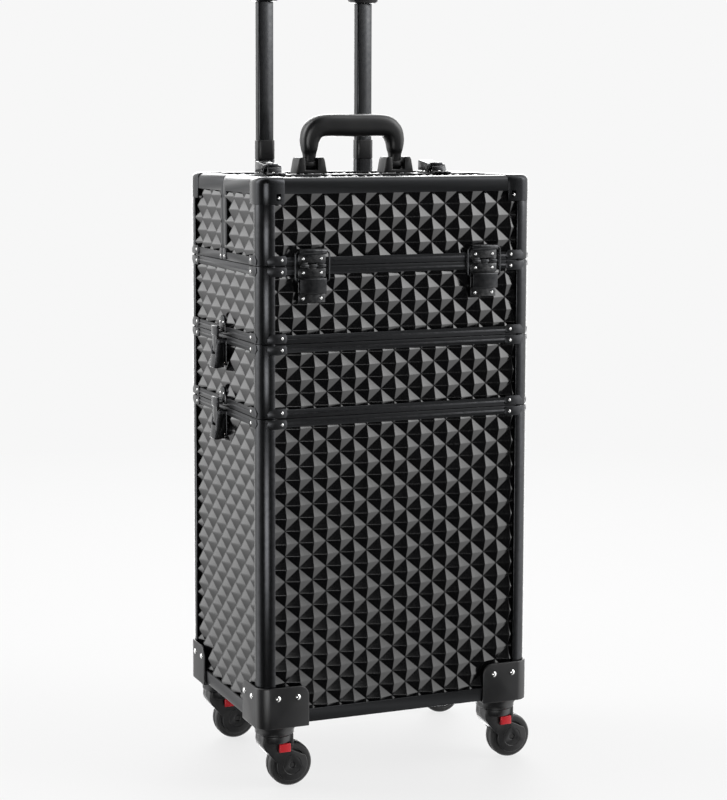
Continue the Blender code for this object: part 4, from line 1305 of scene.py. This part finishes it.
def level_ramp(tree, share, levels):
    """Grey ramp through (place, level) pairs, with places from 0 to 1 in rising order."""
    made = new_node(tree, "ValToRGB", {"Fac": share})
    stops = made.color_ramp.elements
    while len(stops) < len(levels):
        stops.new(0.5)
    for stop, (place, level) in zip(stops, levels):
        stop.position = place
    for stop, (place, level) in zip(stops, levels):
        stop.color = (level, level, level, 1.0)
    return made


def studio_light(world):
    """Surroundings lit by direction and height, and plain grey where the camera sees them."""
    tree = world.node_tree
    tree.nodes.clear()
    parts = new_node(tree, "SeparateXYZ", {"Vector": new_node(tree, "TexCoord").outputs["Generated"]})
    forward = calculated(tree, "MULTIPLY", parts.outputs["Y"], -1.0)
    angle = calculated(tree, "ARCTAN2", parts.outputs["X"], forward)
    height = parts.outputs["Z"]
    around = level_ramp(tree, remap(tree, angle, 0.0, 1.0, -math.pi, math.pi),
                        [((degrees + 180) / 360, level) for degrees, level in AROUND_LEVELS])
    around.color_ramp.interpolation = "EASE"
    upward = level_ramp(tree, remap(tree, height, 0.0, 1.0, -1.0, 1.0),
                        [((sine + 1.0) / 2.0, level) for sine, level in HEIGHT_LEVELS])
    total = calculated(tree, "MULTIPLY", around.outputs["Color"], upward.outputs["Color"])
    total = calculated(tree, "MULTIPLY", total, WORLD_LEVEL)
    for patch in SOFTBOXES:
        total = calculated(tree, "ADD", total, softbox(tree, angle, height, *patch))
    light = new_node(tree, "Background", {"Color": total, "Strength": 1.0})
    backdrop = new_node(tree, "Background", {"Color": (BACKDROP, BACKDROP, BACKDROP, 1.0)})
    seen = new_node(tree, "LightPath").outputs["Is Camera Ray"]
    both = new_node(tree, "MixShader", {"Fac": seen, 1: light.outputs["Background"],
                                        2: backdrop.outputs["Background"]})
    new_node(tree, "OutputWorld", {"Surface": both.outputs["Shader"]})


def build_setting():
    world = bpy.data.worlds.new("studio")
    world.use_nodes = True
    bpy.context.scene.world = world
    studio_light(world)
    bm = bmesh.new()
    bmesh.ops.create_grid(bm, x_segments=8, y_segments=8, size=40.0)
    mesh = bpy.data.meshes.new("floor")
    bm.to_mesh(mesh)
    bm.free()
    mesh.materials.append(floor_paint())
    floor = bpy.data.objects.new("floor", mesh)
    bpy.context.scene.collection.objects.link(floor)
    floor.visible_glossy = False


def build_camera():
    """Long lens just above the lid, turned to the case's left front corner and tilted down."""
    yaw = math.radians(21.567)
    tilt = math.radians(5.397)
    data = bpy.data.cameras.new("camera")
    data.sensor_width = 36.0
    data.lens = 87.9
    data.shift_x = 0.0740
    data.shift_y = -0.1203
    data.clip_end = 200.0
    camera = bpy.data.objects.new("camera", data)
    camera.location = (-0.9113, -2.1355 + Y_MID, 0.7618)
    camera.rotation_euler = (math.pi / 2 - tilt, 0.0, -yaw)
    bpy.context.scene.collection.objects.link(camera)
    bpy.context.scene.camera = camera


bpy.context.scene.view_settings.view_transform = "Standard"
build_setting()
build_camera()

bpy.context.view_layer.update()
